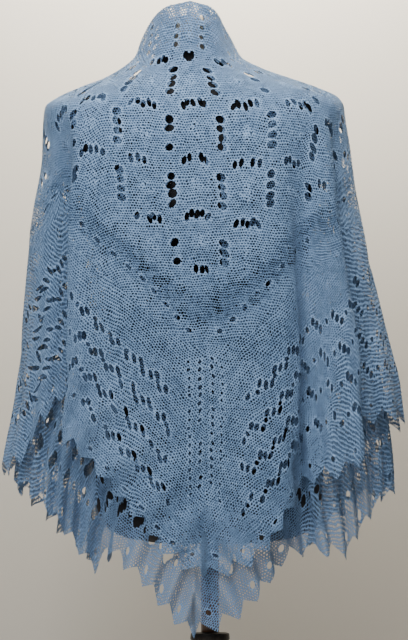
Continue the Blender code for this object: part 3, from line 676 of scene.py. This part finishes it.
LAYER_FADE = 0.06
PUFF = 0.0003
PUFF_FADE = 0.02
CREASE_EASE = 0.6
CREASE_SPAN = (0.02, 0.98)


def relief(x, y):
    """Height of the creases and of the lattice's puffed cells over the smooth cloth."""
    total = np.zeros_like(x)
    for x0, y0, x1, y1, width, height in CREASES:
        run = np.array([x1 - x0, y1 - y0])
        t = np.clip(((x - x0) * run[0] + (y - y0) * run[1]) / (run @ run), 0, 1)
        away = np.hypot(x - x0 - t * run[0], y - y0 - t * run[1])
        fade = np.sin(np.pi * np.clip(t, *CREASE_SPAN)) ** CREASE_EASE
        total += CREASE_DEPTH * height * fade * np.exp(-(away / width) ** 2)
    depth = depth_in(x, y)
    along = (np.abs(y + FOLD_OFFSET) - np.abs(x)) / ROOT_TWO
    wave = HEM_WAVE + UNDER_WAVE * smooth(-(y + FOLD_OFFSET) / LAYER_FADE)
    total += wave * np.cos(2 * np.pi * along / WAVE_PITCH) * smooth((WAVE_DEPTH - depth) / WAVE_FADE)
    inner = smooth((depth - BOUNDARY_EYELET) / PUFF_FADE)
    draped = np.interp(np.abs(x), column(LATTICE_LINES, 1), column(LATTICE_LINES, 0))
    puff = np.cos(2 * np.pi * draped / LATTICE_STEP) + np.cos(2 * np.pi * (y / LATTICE_TALL - 0.5))
    return total + PUFF * inner * puff


# Meshing the flat pieces

def edge_points(corners):
    """The outline of a flat piece with points along each side, close together across the fold."""
    found = []
    for (x0, y0), (x1, y1) in zip(corners, corners[1:] + corners[:1]):
        count = max(1, round(math.hypot(x1 - x0, y1 - y0) / CELL))
        marks = [k / count for k in range(count)]
        if (y0 > FOLD_SIDE) != (y1 > FOLD_SIDE) and y0 != y1:
            marks = [m for m in marks if abs(y0 + (y1 - y0) * m) > FOLD_ROWS[-1] + ROW_CLEAR or m == 0]
            rows = [row * sign for row in FOLD_ROWS for sign in (-1, 1)]
            marks += [(row - y0) / (y1 - y0) for row in set(rows)]
            marks = sorted(m for m in marks if 0 <= m < 1)
        found += [(x0 + (x1 - x0) * m, y0 + (y1 - y0) * m) for m in marks]
    return found


def inside(points, polygon):
    x = points[:, 0]
    y = points[:, 1]
    hits = np.zeros(len(points), bool)
    for (x1, y1), (x2, y2) in zip(polygon, polygon[1:] + polygon[:1]):
        if y1 == y2:
            continue
        crosses = (y1 > y) != (y2 > y)
        hits ^= crosses & (x < (x2 - x1) * (y - y1) / (y2 - y1) + x1)
    return hits


def grid_points(polygon):
    """A grid square to the sides of the shawl, with rows along the fold line in place of its middle."""
    low = np.min(polygon, axis=0)
    high = np.max(polygon, axis=0)
    marks = np.arange(-GRID_REACH, GRID_REACH, CELL)
    u, v = np.meshgrid(marks, marks)
    points = np.stack([(u - v).ravel() / ROOT_TWO, (u + v).ravel() / ROOT_TWO], axis=1)
    box = np.all((points > low) & (points < high), axis=1)
    points = points[box & (np.abs(points[:, 1]) > FOLD_ROWS[-1] + ROW_ROOM)]
    across = np.arange(low[0], high[0], CELL)
    levels = [row * sign for row in FOLD_ROWS for sign in (-1, 1)]
    rows = [np.stack([across, np.full(len(across), level)], axis=1) for level in levels]
    points = np.concatenate([points] + rows[1:])
    points = points[inside(points, polygon)]
    return points


def clear_of_edges(points, polygon, least):
    keep = np.ones(len(points), bool)
    for (x0, y0), (x1, y1) in zip(polygon, polygon[1:] + polygon[:1]):
        near = (points[:, 0] > min(x0, x1) - least) & (points[:, 0] < max(x0, x1) + least)
        near &= (points[:, 1] > min(y0, y1) - least) & (points[:, 1] < max(y0, y1) + least)
        if not near.any():
            continue
        picked = np.flatnonzero(near)
        run = np.array([x1 - x0, y1 - y0])
        away = points[picked] - (x0, y0)
        t = np.clip(away @ run / max(run @ run, NO_LENGTH), 0, 1)
        keep[picked[np.linalg.norm(away - t[:, None] * run, axis=1) < least]] = False
    return keep


def flat_piece(polygon, holes):
    """Triangles of a flat piece with its holes open, and which points lie on a hole."""
    holes = [h for h in holes if inside(np.array([(h[0], h[1])]), polygon)[0]]
    centres = np.array([(h[0], h[1]) for h in holes]).reshape(-1, 2)
    far = clear_of_edges(centres, polygon, HOLE_CLEAR)
    holes = [h for h, ok in zip(holes, far) if ok]
    points = grid_points(polygon)
    points = points[clear_of_edges(points, polygon, EDGE_ROOM)]
    keep = np.ones(len(points), bool)
    for x, y, size, turn in holes:
        dx = points[:, 0] - x
        near = np.abs(dx) < HOLE_WINDOW * max(size)
        picked = np.flatnonzero(near)
        ddx = dx[picked]
        ddy = points[picked, 1] - y
        wide = (ddx * math.cos(turn) + ddy * math.sin(turn)) / (size[0] + HOLE_ROOM)
        tall = (-ddx * math.sin(turn) + ddy * math.cos(turn)) / (size[1] + HOLE_ROOM)
        keep[picked[wide**2 + tall**2 < 1]] = False
    points = points[keep]
    corners = [Vector(p) for p in polygon]
    edges = [(k, (k + 1) % len(polygon)) for k in range(len(polygon))]
    faces = []
    for hole in holes:
        first = len(corners)
        corners += [Vector(p) for p in oval(*hole)]
        faces.append(list(range(first, first + HOLE_POINTS)))
    corners += [Vector(p) for p in points]
    made = delaunay_2d_cdt(corners, edges, faces, 0, JOIN_WITHIN)
    flat = np.array([tuple(v) for v in made[0]])
    triangles = np.array([tuple(f) for f in made[2]])
    corners = flat[triangles]
    run = corners[:, 1] - corners[:, 0]
    other = corners[:, 2] - corners[:, 0]
    doubled = np.abs(run[:, 0] * other[:, 1] - run[:, 1] * other[:, 0])
    whole = inside(corners.mean(axis=1), polygon) & (doubled > 2 * SLIVER * np.linalg.norm(run, axis=1))
    kept = [f for f, owners, fine in zip(triangles.tolist(), made[5], whole) if fine and not owners]
    rim = np.zeros(len(flat))
    first_hole = len(polygon)
    last_hole = first_hole + HOLE_POINTS * len(holes)
    for k, sources in enumerate(made[3]):
        if any(first_hole <= s < last_hole for s in sources):
            rim[k] = 1.0
    on_piece = np.unique(np.array(kept))
    number = np.zeros(len(flat), int)
    number[on_piece] = np.arange(len(on_piece))
    return flat[on_piece], number[np.array(kept)].tolist(), rim[on_piece]


def raised(x, y):
    """The draped place of a flat point with its creases."""
    return drape(x, y) + unit_normal(drape, x, y, WALL_NUDGE) * relief(x, y)[:, None]


def linked(name, data):
    """A new object with its data, in the scene."""
    made = bpy.data.objects.new(name, data)
    bpy.context.scene.collection.objects.link(made)
    return made


def cloth(name, polygon, holes, uv_of, open_of, material):
    """One knitted piece as a thin shell on the drape, its flat place as its UV map, with its flat area."""
    flat, faces, rim = flat_piece(polygon, knitted(holes))
    x = flat[:, 0]
    y = flat[:, 1]
    middle = raised(x, y)
    normal = unit_normal(raised, x, y, NORMAL_NUDGE)
    count = len(flat)
    corners = middle[np.array(faces)]
    facing = np.cross(corners[:, 1] - corners[:, 0], corners[:, 2] - corners[:, 0])
    if np.einsum("ij,ij->", facing, normal[np.array(faces)[:, 0]]) < 0:
        faces = [(c, b, a) for a, b, c in faces]
    points = np.concatenate([middle + normal * THICKNESS / 2, middle - normal * THICKNESS / 2])
    used = {}
    for a, b, c in faces:
        for edge in ((a, b), (b, c), (c, a)):
            used[edge] = True
    walls = [(b, a, count + a, count + b) for a, b in used if (b, a) not in used]
    back = [(count + c, count + b, count + a) for a, b, c in faces]
    data = bpy.data.meshes.new(name)
    data.from_pydata(points.tolist(), [], [tuple(f) for f in faces] + back + walls)
    corner = np.empty(len(data.loops), int)
    data.loops.foreach_get("vertex_index", corner)
    u, v = uv_of(x, y)
    layer = data.uv_layers.new(name="flat")
    layer.data.foreach_set("uv", np.stack([u[corner % count], v[corner % count]], axis=1).ravel())
    for title, values in (("rim", rim), ("open", open_of(x, y))):
        made = data.attributes.new(title, "FLOAT", "POINT")
        made.data.foreach_set("value", np.tile(values, 2).astype(np.float32))
    data.shade_smooth()
    data.normals_split_custom_set_from_vertices(np.concatenate([normal, -normal]).tolist())
    data.materials.append(material)
    return linked(name, data), flat_area(flat, faces)


def flat_area(flat, faces):
    """Area of the knitted fabric in the flat, its holes left out."""
    a, b, c = (flat[np.array([f[k] for f in faces])] for k in range(3))
    return float(np.abs(np.cross(b - a, c - a)).sum() / 2)


MAP_X = np.linspace(-0.84, 0.84, 561)
MAP_Y = np.linspace(-0.85, 0.77, 541)
LAST_CELL = 1.001
SQUARE_DOWN = 4.0
SIDE_ACROSS = 3.0
SIDE_DOWN = 9.0


def draped_lengths():
    """Draped lengths from the spine across, and from the neck down, on a grid of flat places."""
    x, y = np.meshgrid(MAP_X, MAP_Y)
    points = drape(x.ravel(), y.ravel()).reshape(len(MAP_Y), len(MAP_X), 3)
    across = np.nan_to_num(np.linalg.norm(np.diff(points, axis=1), axis=2))
    down = np.nan_to_num(np.linalg.norm(np.diff(points, axis=0), axis=2))
    across = np.concatenate([np.zeros((len(MAP_Y), 1)), np.cumsum(across, axis=1)], axis=1)
    down = np.concatenate([np.zeros((1, len(MAP_X))), np.cumsum(down, axis=0)], axis=0)
    across -= across[:, [len(MAP_X) // 2]]
    down -= down[[int(np.argmin(np.abs(MAP_Y)))], :]
    return across, down


DRAPED = draped_lengths()


def even_map(x, y):
    """Lengths across and down as draped, so that stitches stay one size however the cloth gathers."""
    i = np.clip((x - MAP_X[0]) / (MAP_X[1] - MAP_X[0]), 0, len(MAP_X) - LAST_CELL)
    j = np.clip((y - MAP_Y[0]) / (MAP_Y[1] - MAP_Y[0]), 0, len(MAP_Y) - LAST_CELL)
    return [blend(table, j, i) for table in DRAPED]


def square_uv(x, y):
    across, down = even_map(x, y)
    return across, down + SQUARE_DOWN


def side_uv(layer):
    """Knitting rows turned to lie along the hem on each side of the spine."""
    def uv(x, y):
        across, down = even_map(x, y)
        out = np.abs(across)
        down = layer * down
        along = np.sign(x) * ((out - down) / ROOT_TWO + SIDE_ACROSS)
        return along, (out + down) / ROOT_TWO + SIDE_DOWN
    return uv


OPEN_FROM = 0.228
OPEN_TO = 0.262
OPEN_EDGE = 0.006


def centre_open(x, y):
    depth = depth_in(x, y)
    return eased(depth, OPEN_FROM, OPEN_EDGE) * eased(depth, OPEN_TO, -OPEN_EDGE)


def border_open(x, y):
    return np.zeros_like(x)


# Half the gap between two pieces, and how much the points are drawn in near a side's ends
SEAM_HALF = 0.00003
POINT_EASE = 0.6


def centre_polygon():
    reach = HALF_DIAGONAL - (BORDER_DEPTH + SEAM_HALF) * ROOT_TWO
    corners = [(-reach, -FOLD_OFFSET), (0.0, -reach - FOLD_OFFSET),
               (reach, -FOLD_OFFSET), (0.0, reach - FOLD_OFFSET)]
    return edge_points(corners)


def border_polygon(half, layer):
    gap = SEAM_HALF
    inner = HALF_DIAGONAL - (BORDER_DEPTH - SEAM_HALF) * ROOT_TWO - gap
    outer = HALF_DIAGONAL - (EDGING_DEPTH + SEAM_HALF) * ROOT_TWO - gap
    side_y = layer * gap - FOLD_OFFSET
    corners = [(half * outer, side_y), (half * inner, side_y), (half * gap, layer * inner - FOLD_OFFSET),
               (half * gap, layer * outer - FOLD_OFFSET)]
    return edge_points(corners)


def zigzag(layer):
    """The pointed hem of one layer, from its left corner to its right."""
    sides = {}
    for half in (-1, 1):
        sides[half] = []
        for k, along in enumerate(even_marks(0.0, half, layer, POINT_PITCH / 2)):
            on_fold = abs(side_point(along, 0.0, half, layer)[1]) < 2 * FOLD_BAND
            drawn_in = min(POINT_DEPTH, POINT_EASE * along, POINT_EASE * (SIDE - along))
            inset = 0.0 if k % 2 == 0 or on_fold else drawn_in
            sides[half].append(side_point(along, inset, half, layer))
    return sides[-1][::-1] + sides[1][1:]


def edging_polygon(layer):
    gap = SEAM_HALF
    side_y = layer * gap - FOLD_OFFSET
    corner = HALF_DIAGONAL - (EDGING_DEPTH - SEAM_HALF) * ROOT_TWO - gap
    hem = zigzag(layer)
    hem[0] = (hem[0][0] + gap, side_y)
    hem[-1] = (hem[-1][0] - gap, side_y)
    tip = layer * (corner + gap) - FOLD_OFFSET
    corners = [(-corner, side_y), (0.0, tip), (corner, side_y)] + hem[::-1]
    return edge_points(corners)


# Materials

YARN = (0.320, 0.495, 0.775)
# The darker colour is painted shade towards each stitch gap, and also the darker random patches of fibre
# tone.
YARN_GAP_SHADE_AND_DARK_TONE = (0.055, 0.120, 0.230)
STITCH_WIDE = 0.0037
STITCH_TALL = 0.0034
GAP_RADIUS = 0.37
GAP_MORE = 0.15
OPEN_MORE = 0.09
PATCH_MORE = 0.18
RIM_LESS = 0.20
GAP_SQUAT = 1.15
GAP_SHARP = 9.0
WANDER = 0.0070


def math_node(tree, operation, first, second=None, third=None, clamp=False):
    node = tree.nodes.new("ShaderNodeMath")
    node.operation = operation
    node.use_clamp = clamp
    for socket, value in zip(node.inputs, (first, second, third)):
        if value is None:
            continue
        if isinstance(value, (int, float)):
            socket.default_value = value
        else:
            tree.links.new(value, socket)
    return node.outputs[0]


def noise(tree, vector, scale, detail=2.0, rough=0.5):
    node = tree.nodes.new("ShaderNodeTexNoise")
    node.inputs["Scale"].default_value = scale
    node.inputs["Detail"].default_value = detail
    node.inputs["Roughness"].default_value = rough
    if vector is not None:
        tree.links.new(vector, node.inputs["Vector"])
    return node


def ramp(tree, value, low, high, low_colour, high_colour):
    node = tree.nodes.new("ShaderNodeMapRange")
    node.inputs["From Min"].default_value = low
    node.inputs["From Max"].default_value = high
    tree.links.new(value, node.inputs["Value"])
    mix = tree.nodes.new("ShaderNodeMix")
    mix.data_type = "RGBA"
    mix.inputs["A"].default_value = (*low_colour, 1)
    mix.inputs["B"].default_value = (*high_colour, 1)
    tree.links.new(node.outputs["Result"], mix.inputs["Factor"])
    return mix.outputs["Result"]


def new_material(name, roughness, metallic=0.0):
    made = bpy.data.materials.new(name)
    made.use_nodes = True
    shader = made.node_tree.nodes["Principled BSDF"]
    shader.inputs["Roughness"].default_value = roughness
    shader.inputs["Metallic"].default_value = metallic
    return made, made.node_tree, shader


def bump(tree, shader, height, distance, strength=1.0):
    node = tree.nodes.new("ShaderNodeBump")
    node.inputs["Distance"].default_value = distance
    node.inputs["Strength"].default_value = strength
    tree.links.new(height, node.inputs["Height"])
    tree.links.new(node.outputs["Normal"], shader.inputs["Normal"])


def yarn_material():
    """Fluffy lace-weight yarn knitted to an open fabric, from the cloth's flat map, its colour darkened
    towards each stitch gap as painted shade.
    """
    made, tree, shader = new_material("hand knitted yarn", roughness=0.88)
    links = tree.links
    flat = tree.nodes.new("ShaderNodeUVMap")
    flat.uv_map = "flat"
    wander = noise(tree, flat.outputs["UV"], scale=55.0, detail=1.0)
    shift = tree.nodes.new("ShaderNodeVectorMath")
    shift.operation = "MULTIPLY_ADD"
    shift.inputs[1].default_value = (WANDER, WANDER, 0.0)
    links.new(wander.outputs["Color"], shift.inputs[0])
    links.new(flat.outputs["UV"], shift.inputs[2])
    split = tree.nodes.new("ShaderNodeSeparateXYZ")
    links.new(shift.outputs["Vector"], split.inputs["Vector"])
    row = math_node(tree, "DIVIDE", split.outputs["Y"], STITCH_TALL)
    row_number = math_node(tree, "FLOOR", row)
    odd = math_node(tree, "PINGPONG", row_number, 1.0)
    stitch = math_node(tree, "DIVIDE", split.outputs["X"], STITCH_WIDE)
    across = math_node(tree, "MULTIPLY_ADD", odd, 0.5, stitch)
    cell_x = math_node(tree, "SUBTRACT", math_node(tree, "FRACT", across), 0.5)
    cell_y = math_node(tree, "SUBTRACT", math_node(tree, "FRACT", row), 0.5)
    joined = tree.nodes.new("ShaderNodeCombineXYZ")
    links.new(math_node(tree, "FLOOR", across), joined.inputs["X"])
    links.new(row_number, joined.inputs["Y"])
    chance = tree.nodes.new("ShaderNodeTexWhiteNoise")
    chance.noise_dimensions = "2D"
    links.new(joined.outputs["Vector"], chance.inputs["Vector"])
    reach_x = math_node(tree, "MULTIPLY", cell_x, cell_x)
    reach_y = math_node(tree, "MULTIPLY", math_node(tree, "MULTIPLY", cell_y, cell_y), GAP_SQUAT)
    away = math_node(tree, "SQRT", math_node(tree, "ADD", reach_x, reach_y))
    opened = tree.nodes.new("ShaderNodeAttribute")
    opened.attribute_name = "open"
    rim = tree.nodes.new("ShaderNodeAttribute")
    rim.attribute_name = "rim"
    patches = noise(tree, flat.outputs["UV"], scale=26.0, detail=3.0)
    radius = math_node(tree, "MULTIPLY_ADD", chance.outputs["Value"], GAP_MORE, GAP_RADIUS - GAP_MORE)
    radius = math_node(tree, "SUBTRACT", radius, PATCH_MORE / 2)
    radius = math_node(tree, "MULTIPLY_ADD", patches.outputs["Fac"], PATCH_MORE, radius)
    radius = math_node(tree, "MULTIPLY_ADD", opened.outputs["Fac"], OPEN_MORE, radius)
    radius = math_node(tree, "SUBTRACT", radius, math_node(tree, "MULTIPLY", rim.outputs["Fac"], RIM_LESS))
    height = math_node(tree, "SUBTRACT", away, radius)
    solid = math_node(tree, "MULTIPLY", height, GAP_SHARP, clamp=True)
    links.new(solid, shader.inputs["Alpha"])
    fibre = noise(tree, shift.outputs["Vector"], scale=1700.0, detail=2.0, rough=0.7)
    # Painted shade: the colour darkens towards each stitch gap and is lightest on the yarn between the gaps,
    # while fibre and patch noise add random tone.
    tone = math_node(tree, "MULTIPLY", height, 1.6)
    tone = math_node(tree, "MULTIPLY_ADD", fibre.outputs["Fac"], 0.55, tone)
    blotch = noise(tree, flat.outputs["UV"], scale=9.0, detail=3.0)
    tone = math_node(tree, "ADD", tone, math_node(tree, "MULTIPLY", blotch.outputs["Fac"], 0.5))
    colour = ramp(tree, tone, 0.25, 1.35, YARN_GAP_SHADE_AND_DARK_TONE, YARN)
    links.new(colour, shader.inputs["Base Color"])
    lump = math_node(tree, "MINIMUM", height, 0.4)
    lump = math_node(tree, "MULTIPLY_ADD", fibre.outputs["Fac"], 0.25, lump)
    bump(tree, shader, lump, distance=0.0016, strength=0.8)
    shader.inputs["Sheen Weight"].default_value = 0.25
    shader.inputs["Sheen Roughness"].default_value = 0.5
    shader.inputs["Sheen Tint"].default_value = (0.50, 0.68, 0.95, 1)
    shader.inputs["Specular IOR Level"].default_value = 0.15
    return made


def woven_material():
    """Dark fine cloth stretched over the form."""
    made, tree, shader = new_material("dark form cloth", roughness=0.92)
    place_at = tree.nodes.new("ShaderNodeTexCoord").outputs["Object"]
    weave = noise(tree, place_at, scale=900.0, detail=1.0)
    wear = noise(tree, place_at, scale=7.0, detail=3.0)
    tone = math_node(tree, "ADD", math_node(tree, "MULTIPLY", weave.outputs["Fac"], 0.6), wear.outputs["Fac"])
    colour = ramp(tree, tone, 0.4, 1.2, (0.012, 0.012, 0.014), (0.035, 0.034, 0.037))
    tree.links.new(colour, shader.inputs["Base Color"])
    bump(tree, shader, weave.outputs["Fac"], distance=0.0006, strength=0.5)
    return made


def wood_material(name, dark, light, roughness, coat):
    """Wood grain stretched up the pole under varnish."""
    made, tree, shader = new_material(name, roughness)
    coords = tree.nodes.new("ShaderNodeTexCoord")
    stretch = tree.nodes.new("ShaderNodeMapping")
    stretch.inputs["Scale"].default_value = (1.0, 1.0, 0.06)
    tree.links.new(coords.outputs["Object"], stretch.inputs["Vector"])
    grain = noise(tree, stretch.outputs["Vector"], scale=260.0, detail=5.0, rough=0.65)
    broad = noise(tree, stretch.outputs["Vector"], scale=40.0, detail=2.0)
    tone = math_node(tree, "MULTIPLY", broad.outputs["Fac"], 0.4)
    tone = math_node(tree, "MULTIPLY_ADD", grain.outputs["Fac"], 0.6, tone)
    tree.links.new(ramp(tree, tone, 0.35, 0.7, dark, light), shader.inputs["Base Color"])
    bump(tree, shader, grain.outputs["Fac"], distance=0.0002, strength=0.3)
    shader.inputs["Coat Weight"].default_value = coat
    shader.inputs["Coat Roughness"].default_value = 0.12
    return made


def metal_material():
    """Dark lacquered metal, slightly rubbed."""
    made, tree, shader = new_material("dark metal", roughness=0.42, metallic=1.0)
    place_at = tree.nodes.new("ShaderNodeTexCoord").outputs["Object"]
    rub = noise(tree, place_at, scale=90.0, detail=4.0, rough=0.6)
    colour = ramp(tree, rub.outputs["Fac"], 0.3, 0.75, (0.020, 0.018, 0.017), (0.060, 0.055, 0.050))
    tree.links.new(colour, shader.inputs["Base Color"])
    bump(tree, shader, rub.outputs["Fac"], distance=0.0003, strength=0.25)
    return made


def plain_material(name, colour, roughness, mottle):
    """Painted wall or floor with a faint mottle."""
    made, tree, shader = new_material(name, roughness)
    place_at = tree.nodes.new("ShaderNodeTexCoord").outputs["Object"]
    spots = noise(tree, place_at, scale=3.0, detail=4.0)
    darker = tuple(c * (1 - mottle) for c in colour)
    tree.links.new(ramp(tree, spots.outputs["Fac"], 0.3, 0.7, darker, colour), shader.inputs["Base Color"])
    return made


# The form and its stand, smoother than their solids

TORSO = (
    # height, left, right, behind, front, centre
    (1376, 46, 46, 44, 42, -27),
    (1362, 48, 49, 46, 44, -27),
    (1349, 56, 60, 51, 46, -27),
    (1337, 78, 90, 60, 49, -26),
    (1324, 112, 132, 70, 54, -25),
    (1312, 142, 160, 78, 59, -24),
    (1300, 160, 170, 84, 65, -22),
    (1278, 168, 172, 91, 76, -20),
    (1240, 166, 168, 98, 90, -18),
    (1190, 158, 160, 99, 98, -16),
    (1120, 144, 145, 92, 97, -13),
    (1040, 126, 127, 80, 82, -10),
    (980, 124, 125, 78, 77, -8),
    (900, 140, 141, 84, 80, -5),
    (840, 152, 153, 90, 82, -3),
    (775, 148, 148, 88, 78, -2),
    (745, 134, 134, 80, 70, 0),
    (732, 108, 108, 64, 56, 0),
    (726, 70, 70, 42, 36, 0),
)
TORSO_RINGS = 110
TORSO_AROUND = 96
TORSO_SQUARE = 0.35
TORSO_EASE = (1370, -50)
TURN_STEPS = 96
AXIS_MERGE = 0.00005
SOFT_EDGE = 0.0008
SOFT_ANGLE = math.radians(40)
CAP_X = -0.0275
CAP_PROFILE = (
    (0.0, 1.4250), (0.016, 1.4245), (0.030, 1.4210), (0.038, 1.4140), (0.040, 1.4050), (0.040, 1.3763),
)
POLE_PROFILE = ((0.0, 0.7257), (0.012, 0.7257), (0.012, 0.6083), (0.0, 0.6083))
COLLAR_PROFILE = (
    (0.0, 0.608), (0.0215, 0.608), (0.0255, 0.6065), (0.0262, 0.600), (0.0215, 0.592), (0.0205, 0.550),
    (0.0195, 0.545), (0.0, 0.545),
)
LOWER_PROFILE = ((0.0, 0.5447), (0.0165, 0.5447), (0.0165, 0.0383), (0.0, 0.0383))
BASE_PROFILE = (
    (0.0, 0.038), (0.024, 0.038), (0.030, 0.034), (0.038, 0.030), (0.120, 0.024), (0.160, 0.017),
    (0.170, 0.010), (0.168, 0.002), (0.164, 0.0), (0.0, 0.0),
)


def torso_piece(material):
    """The limbless form, from its table of sections."""
    heights = column(TORSO, 0)[::-1]
    mesh = bmesh.new()
    rings = []
    for height in np.linspace(heights[-1], heights[0], TORSO_RINGS):
        values = [curve(height, heights, column(TORSO, k)[::-1]) for k in range(1, 6)]
        left, right, behind, front, centre = values
        power = ROUND_POWER + TORSO_SQUARE * float(eased(height, *TORSO_EASE))
        row = []
        for k in range(TORSO_AROUND):
            angle = 2 * math.pi * k / TORSO_AROUND
            wide = right if math.sin(angle) > 0 else left
            deep = behind if math.cos(angle) > 0 else front
            total = abs(math.sin(angle) / wide) ** power + abs(math.cos(angle) / deep) ** power
            reach = total ** (-1 / power)
            place_at = Vector((centre + reach * math.sin(angle), -reach * math.cos(angle), height))
            row.append(mesh.verts.new(place_at / MM))
        rings.append(row)
    for upper, lower in zip(rings, rings[1:]):
        for k in range(TORSO_AROUND):
            n = (k + 1) % TORSO_AROUND
            mesh.faces.new((upper[k], upper[n], lower[n], lower[k]))
    mesh.faces.new(rings[0])
    mesh.faces.new(rings[-1])
    bmesh.ops.recalc_face_normals(mesh, faces=mesh.faces)
    data = bpy.data.meshes.new("torso_form")
    mesh.to_mesh(data)
    mesh.free()
    data.shade_smooth()
    data.materials.append(material)
    return linked("torso_form", data)


def turned(name, profile, material, x=0.0):
    """A profile turned round the pole's axis, its corners softened."""
    data = bpy.data.meshes.new(name)
    data.from_pydata([(r, 0, z) for r, z in profile], [(k, k + 1) for k in range(len(profile) - 1)], [])
    data.materials.append(material)
    piece = linked(name, data)
    piece.location.x = x
    turn = piece.modifiers.new("turn", "SCREW")
    turn.steps = TURN_STEPS
    turn.render_steps = TURN_STEPS
    turn.use_merge_vertices = True
    turn.merge_threshold = AXIS_MERGE
    turn.use_smooth_shade = True
    edge = piece.modifiers.new("edge", "BEVEL")
    edge.width = SOFT_EDGE
    edge.segments = 2
    edge.limit_method = "ANGLE"
    edge.angle_limit = SOFT_ANGLE
    return piece


# The room, light and camera

WALL_Y = 0.46
ROOM = 6.0
FLOOR_Z = -0.001
PHOTO_WIDE = 408
PHOTO_TALL = 640
CAMERA_AWAY = 14.0
CAMERA_X = (PHOTO_WIDE / 2 - AXIS) * STEP
CAMERA_Z = TOP_Z - PHOTO_TALL / 2 * STEP
SENSOR = 36.0


def plane(name, corners, material):
    data = bpy.data.meshes.new(name)
    data.from_pydata(corners, [], [(0, 1, 2, 3)])
    data.materials.append(material)
    return linked(name, data)


def room():
    upright = [(-ROOM, WALL_Y, 0), (ROOM, WALL_Y, 0), (ROOM, WALL_Y, ROOM), (-ROOM, WALL_Y, ROOM)]
    wall = plane("backdrop", upright, plain_material("pale wall", (0.55, 0.515, 0.445), 0.9, mottle=0.015))
    level = [(x, y, FLOOR_Z) for x, y in ((-ROOM, -ROOM), (ROOM, -ROOM), (ROOM, WALL_Y), (-ROOM, WALL_Y))]
    floor = plane("floor", level, plain_material("pale floor", (0.62, 0.59, 0.55), 0.7, mottle=0.03))


def area_light(name, place_at, target, size, power, colour):
    data = bpy.data.lights.new(name, "AREA")
    data.shape = "SQUARE"
    data.size = size
    data.energy = power
    data.color = colour
    light = linked(name, data)
    light.location = place_at
    light.rotation_euler = (Vector(target) - Vector(place_at)).to_track_quat("-Z", "Y").to_euler()


def lights():
    area_light("ceiling_light", (0.10, -0.60, 2.30), (0.0, 0.10, 1.25), 0.9, 22.0, (1.0, 0.965, 0.91))
    area_light("wall_light", (0.0, 0.06, 2.05), (0.0, 0.46, 2.0), 0.6, 50.0, (1.0, 0.94, 0.85))
    area_light("window_light", (-1.1, -2.6, 2.8), (0.0, 0.0, 1.2), 1.5, 65.0, (0.95, 0.975, 1.0))
    world = bpy.data.worlds.new("room")
    world.use_nodes = True
    world.node_tree.nodes["Background"].inputs["Color"].default_value = (0.82, 0.88, 1.0, 1)
    world.node_tree.nodes["Background"].inputs["Strength"].default_value = 0.15
    bpy.context.scene.world = world


def camera():
    data = bpy.data.cameras.new("photo_camera")
    data.sensor_width = SENSOR
    data.lens = SENSOR * CAMERA_AWAY / (PHOTO_TALL * STEP)
    data.clip_end = 60.0
    made = linked("photo_camera", data)
    made.location = (CAMERA_X, -CAMERA_AWAY, CAMERA_Z)
    made.rotation_euler = (math.pi / 2, 0, 0)
    bpy.context.scene.camera = made


# Putting it together

def dress(piece, slot, *nodes):
    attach(piece, "root")
    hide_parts(*nodes)
    return piece


def shawl(yarn):
    lace = lattice_lace() + boundary_lace()
    centre, area = cloth("centre_square", centre_polygon(), lace, square_uv, centre_open, yarn)
    dress(centre, "yarn", "centre_upper", "centre_under")
    for layer, level in ((1, "upper"), (-1, "under")):
        for half, hand in ((-1, "left"), (1, "right")):
            name = "border_" + level + "_" + hand
            polygon = border_polygon(half, layer)
            lace = border_lace(half, layer)
            border, area = cloth("lace_" + name, polygon, lace, side_uv(layer), border_open, yarn)
            dress(border, "yarn", name)
        edging, area = cloth("pointed_edging_" + level, edging_polygon(layer), edging_lace(layer),
                             side_uv(layer), border_open, yarn)
        dress(edging, "yarn", "edging_" + level)


def form():
    pale = wood_material("pale wood", (0.50, 0.42, 0.32), (0.68, 0.60, 0.48), 0.5, 0.1)
    brown = wood_material("brown wood", (0.045, 0.016, 0.006), (0.20, 0.080, 0.026), 0.32, 0.6)
    metal = metal_material()
    dress(torso_piece(woven_material()), "dark_cloth", "torso")
    dress(turned("neck_block", CAP_PROFILE, pale, CAP_X), "pale_wood", "neck_cap")
    dress(turned("stand_pole", POLE_PROFILE, brown), "brown_wood", "pole")
    dress(turned("pole_collar", COLLAR_PROFILE, metal), "dark_metal", "collar")
    dress(turned("stand_lower_pole", LOWER_PROFILE, brown), "brown_wood", "lower_pole")
    dress(turned("stand_base", BASE_PROFILE, metal), "dark_metal", "base")


shawl(yarn_material())
form()
room()
lights()
camera()
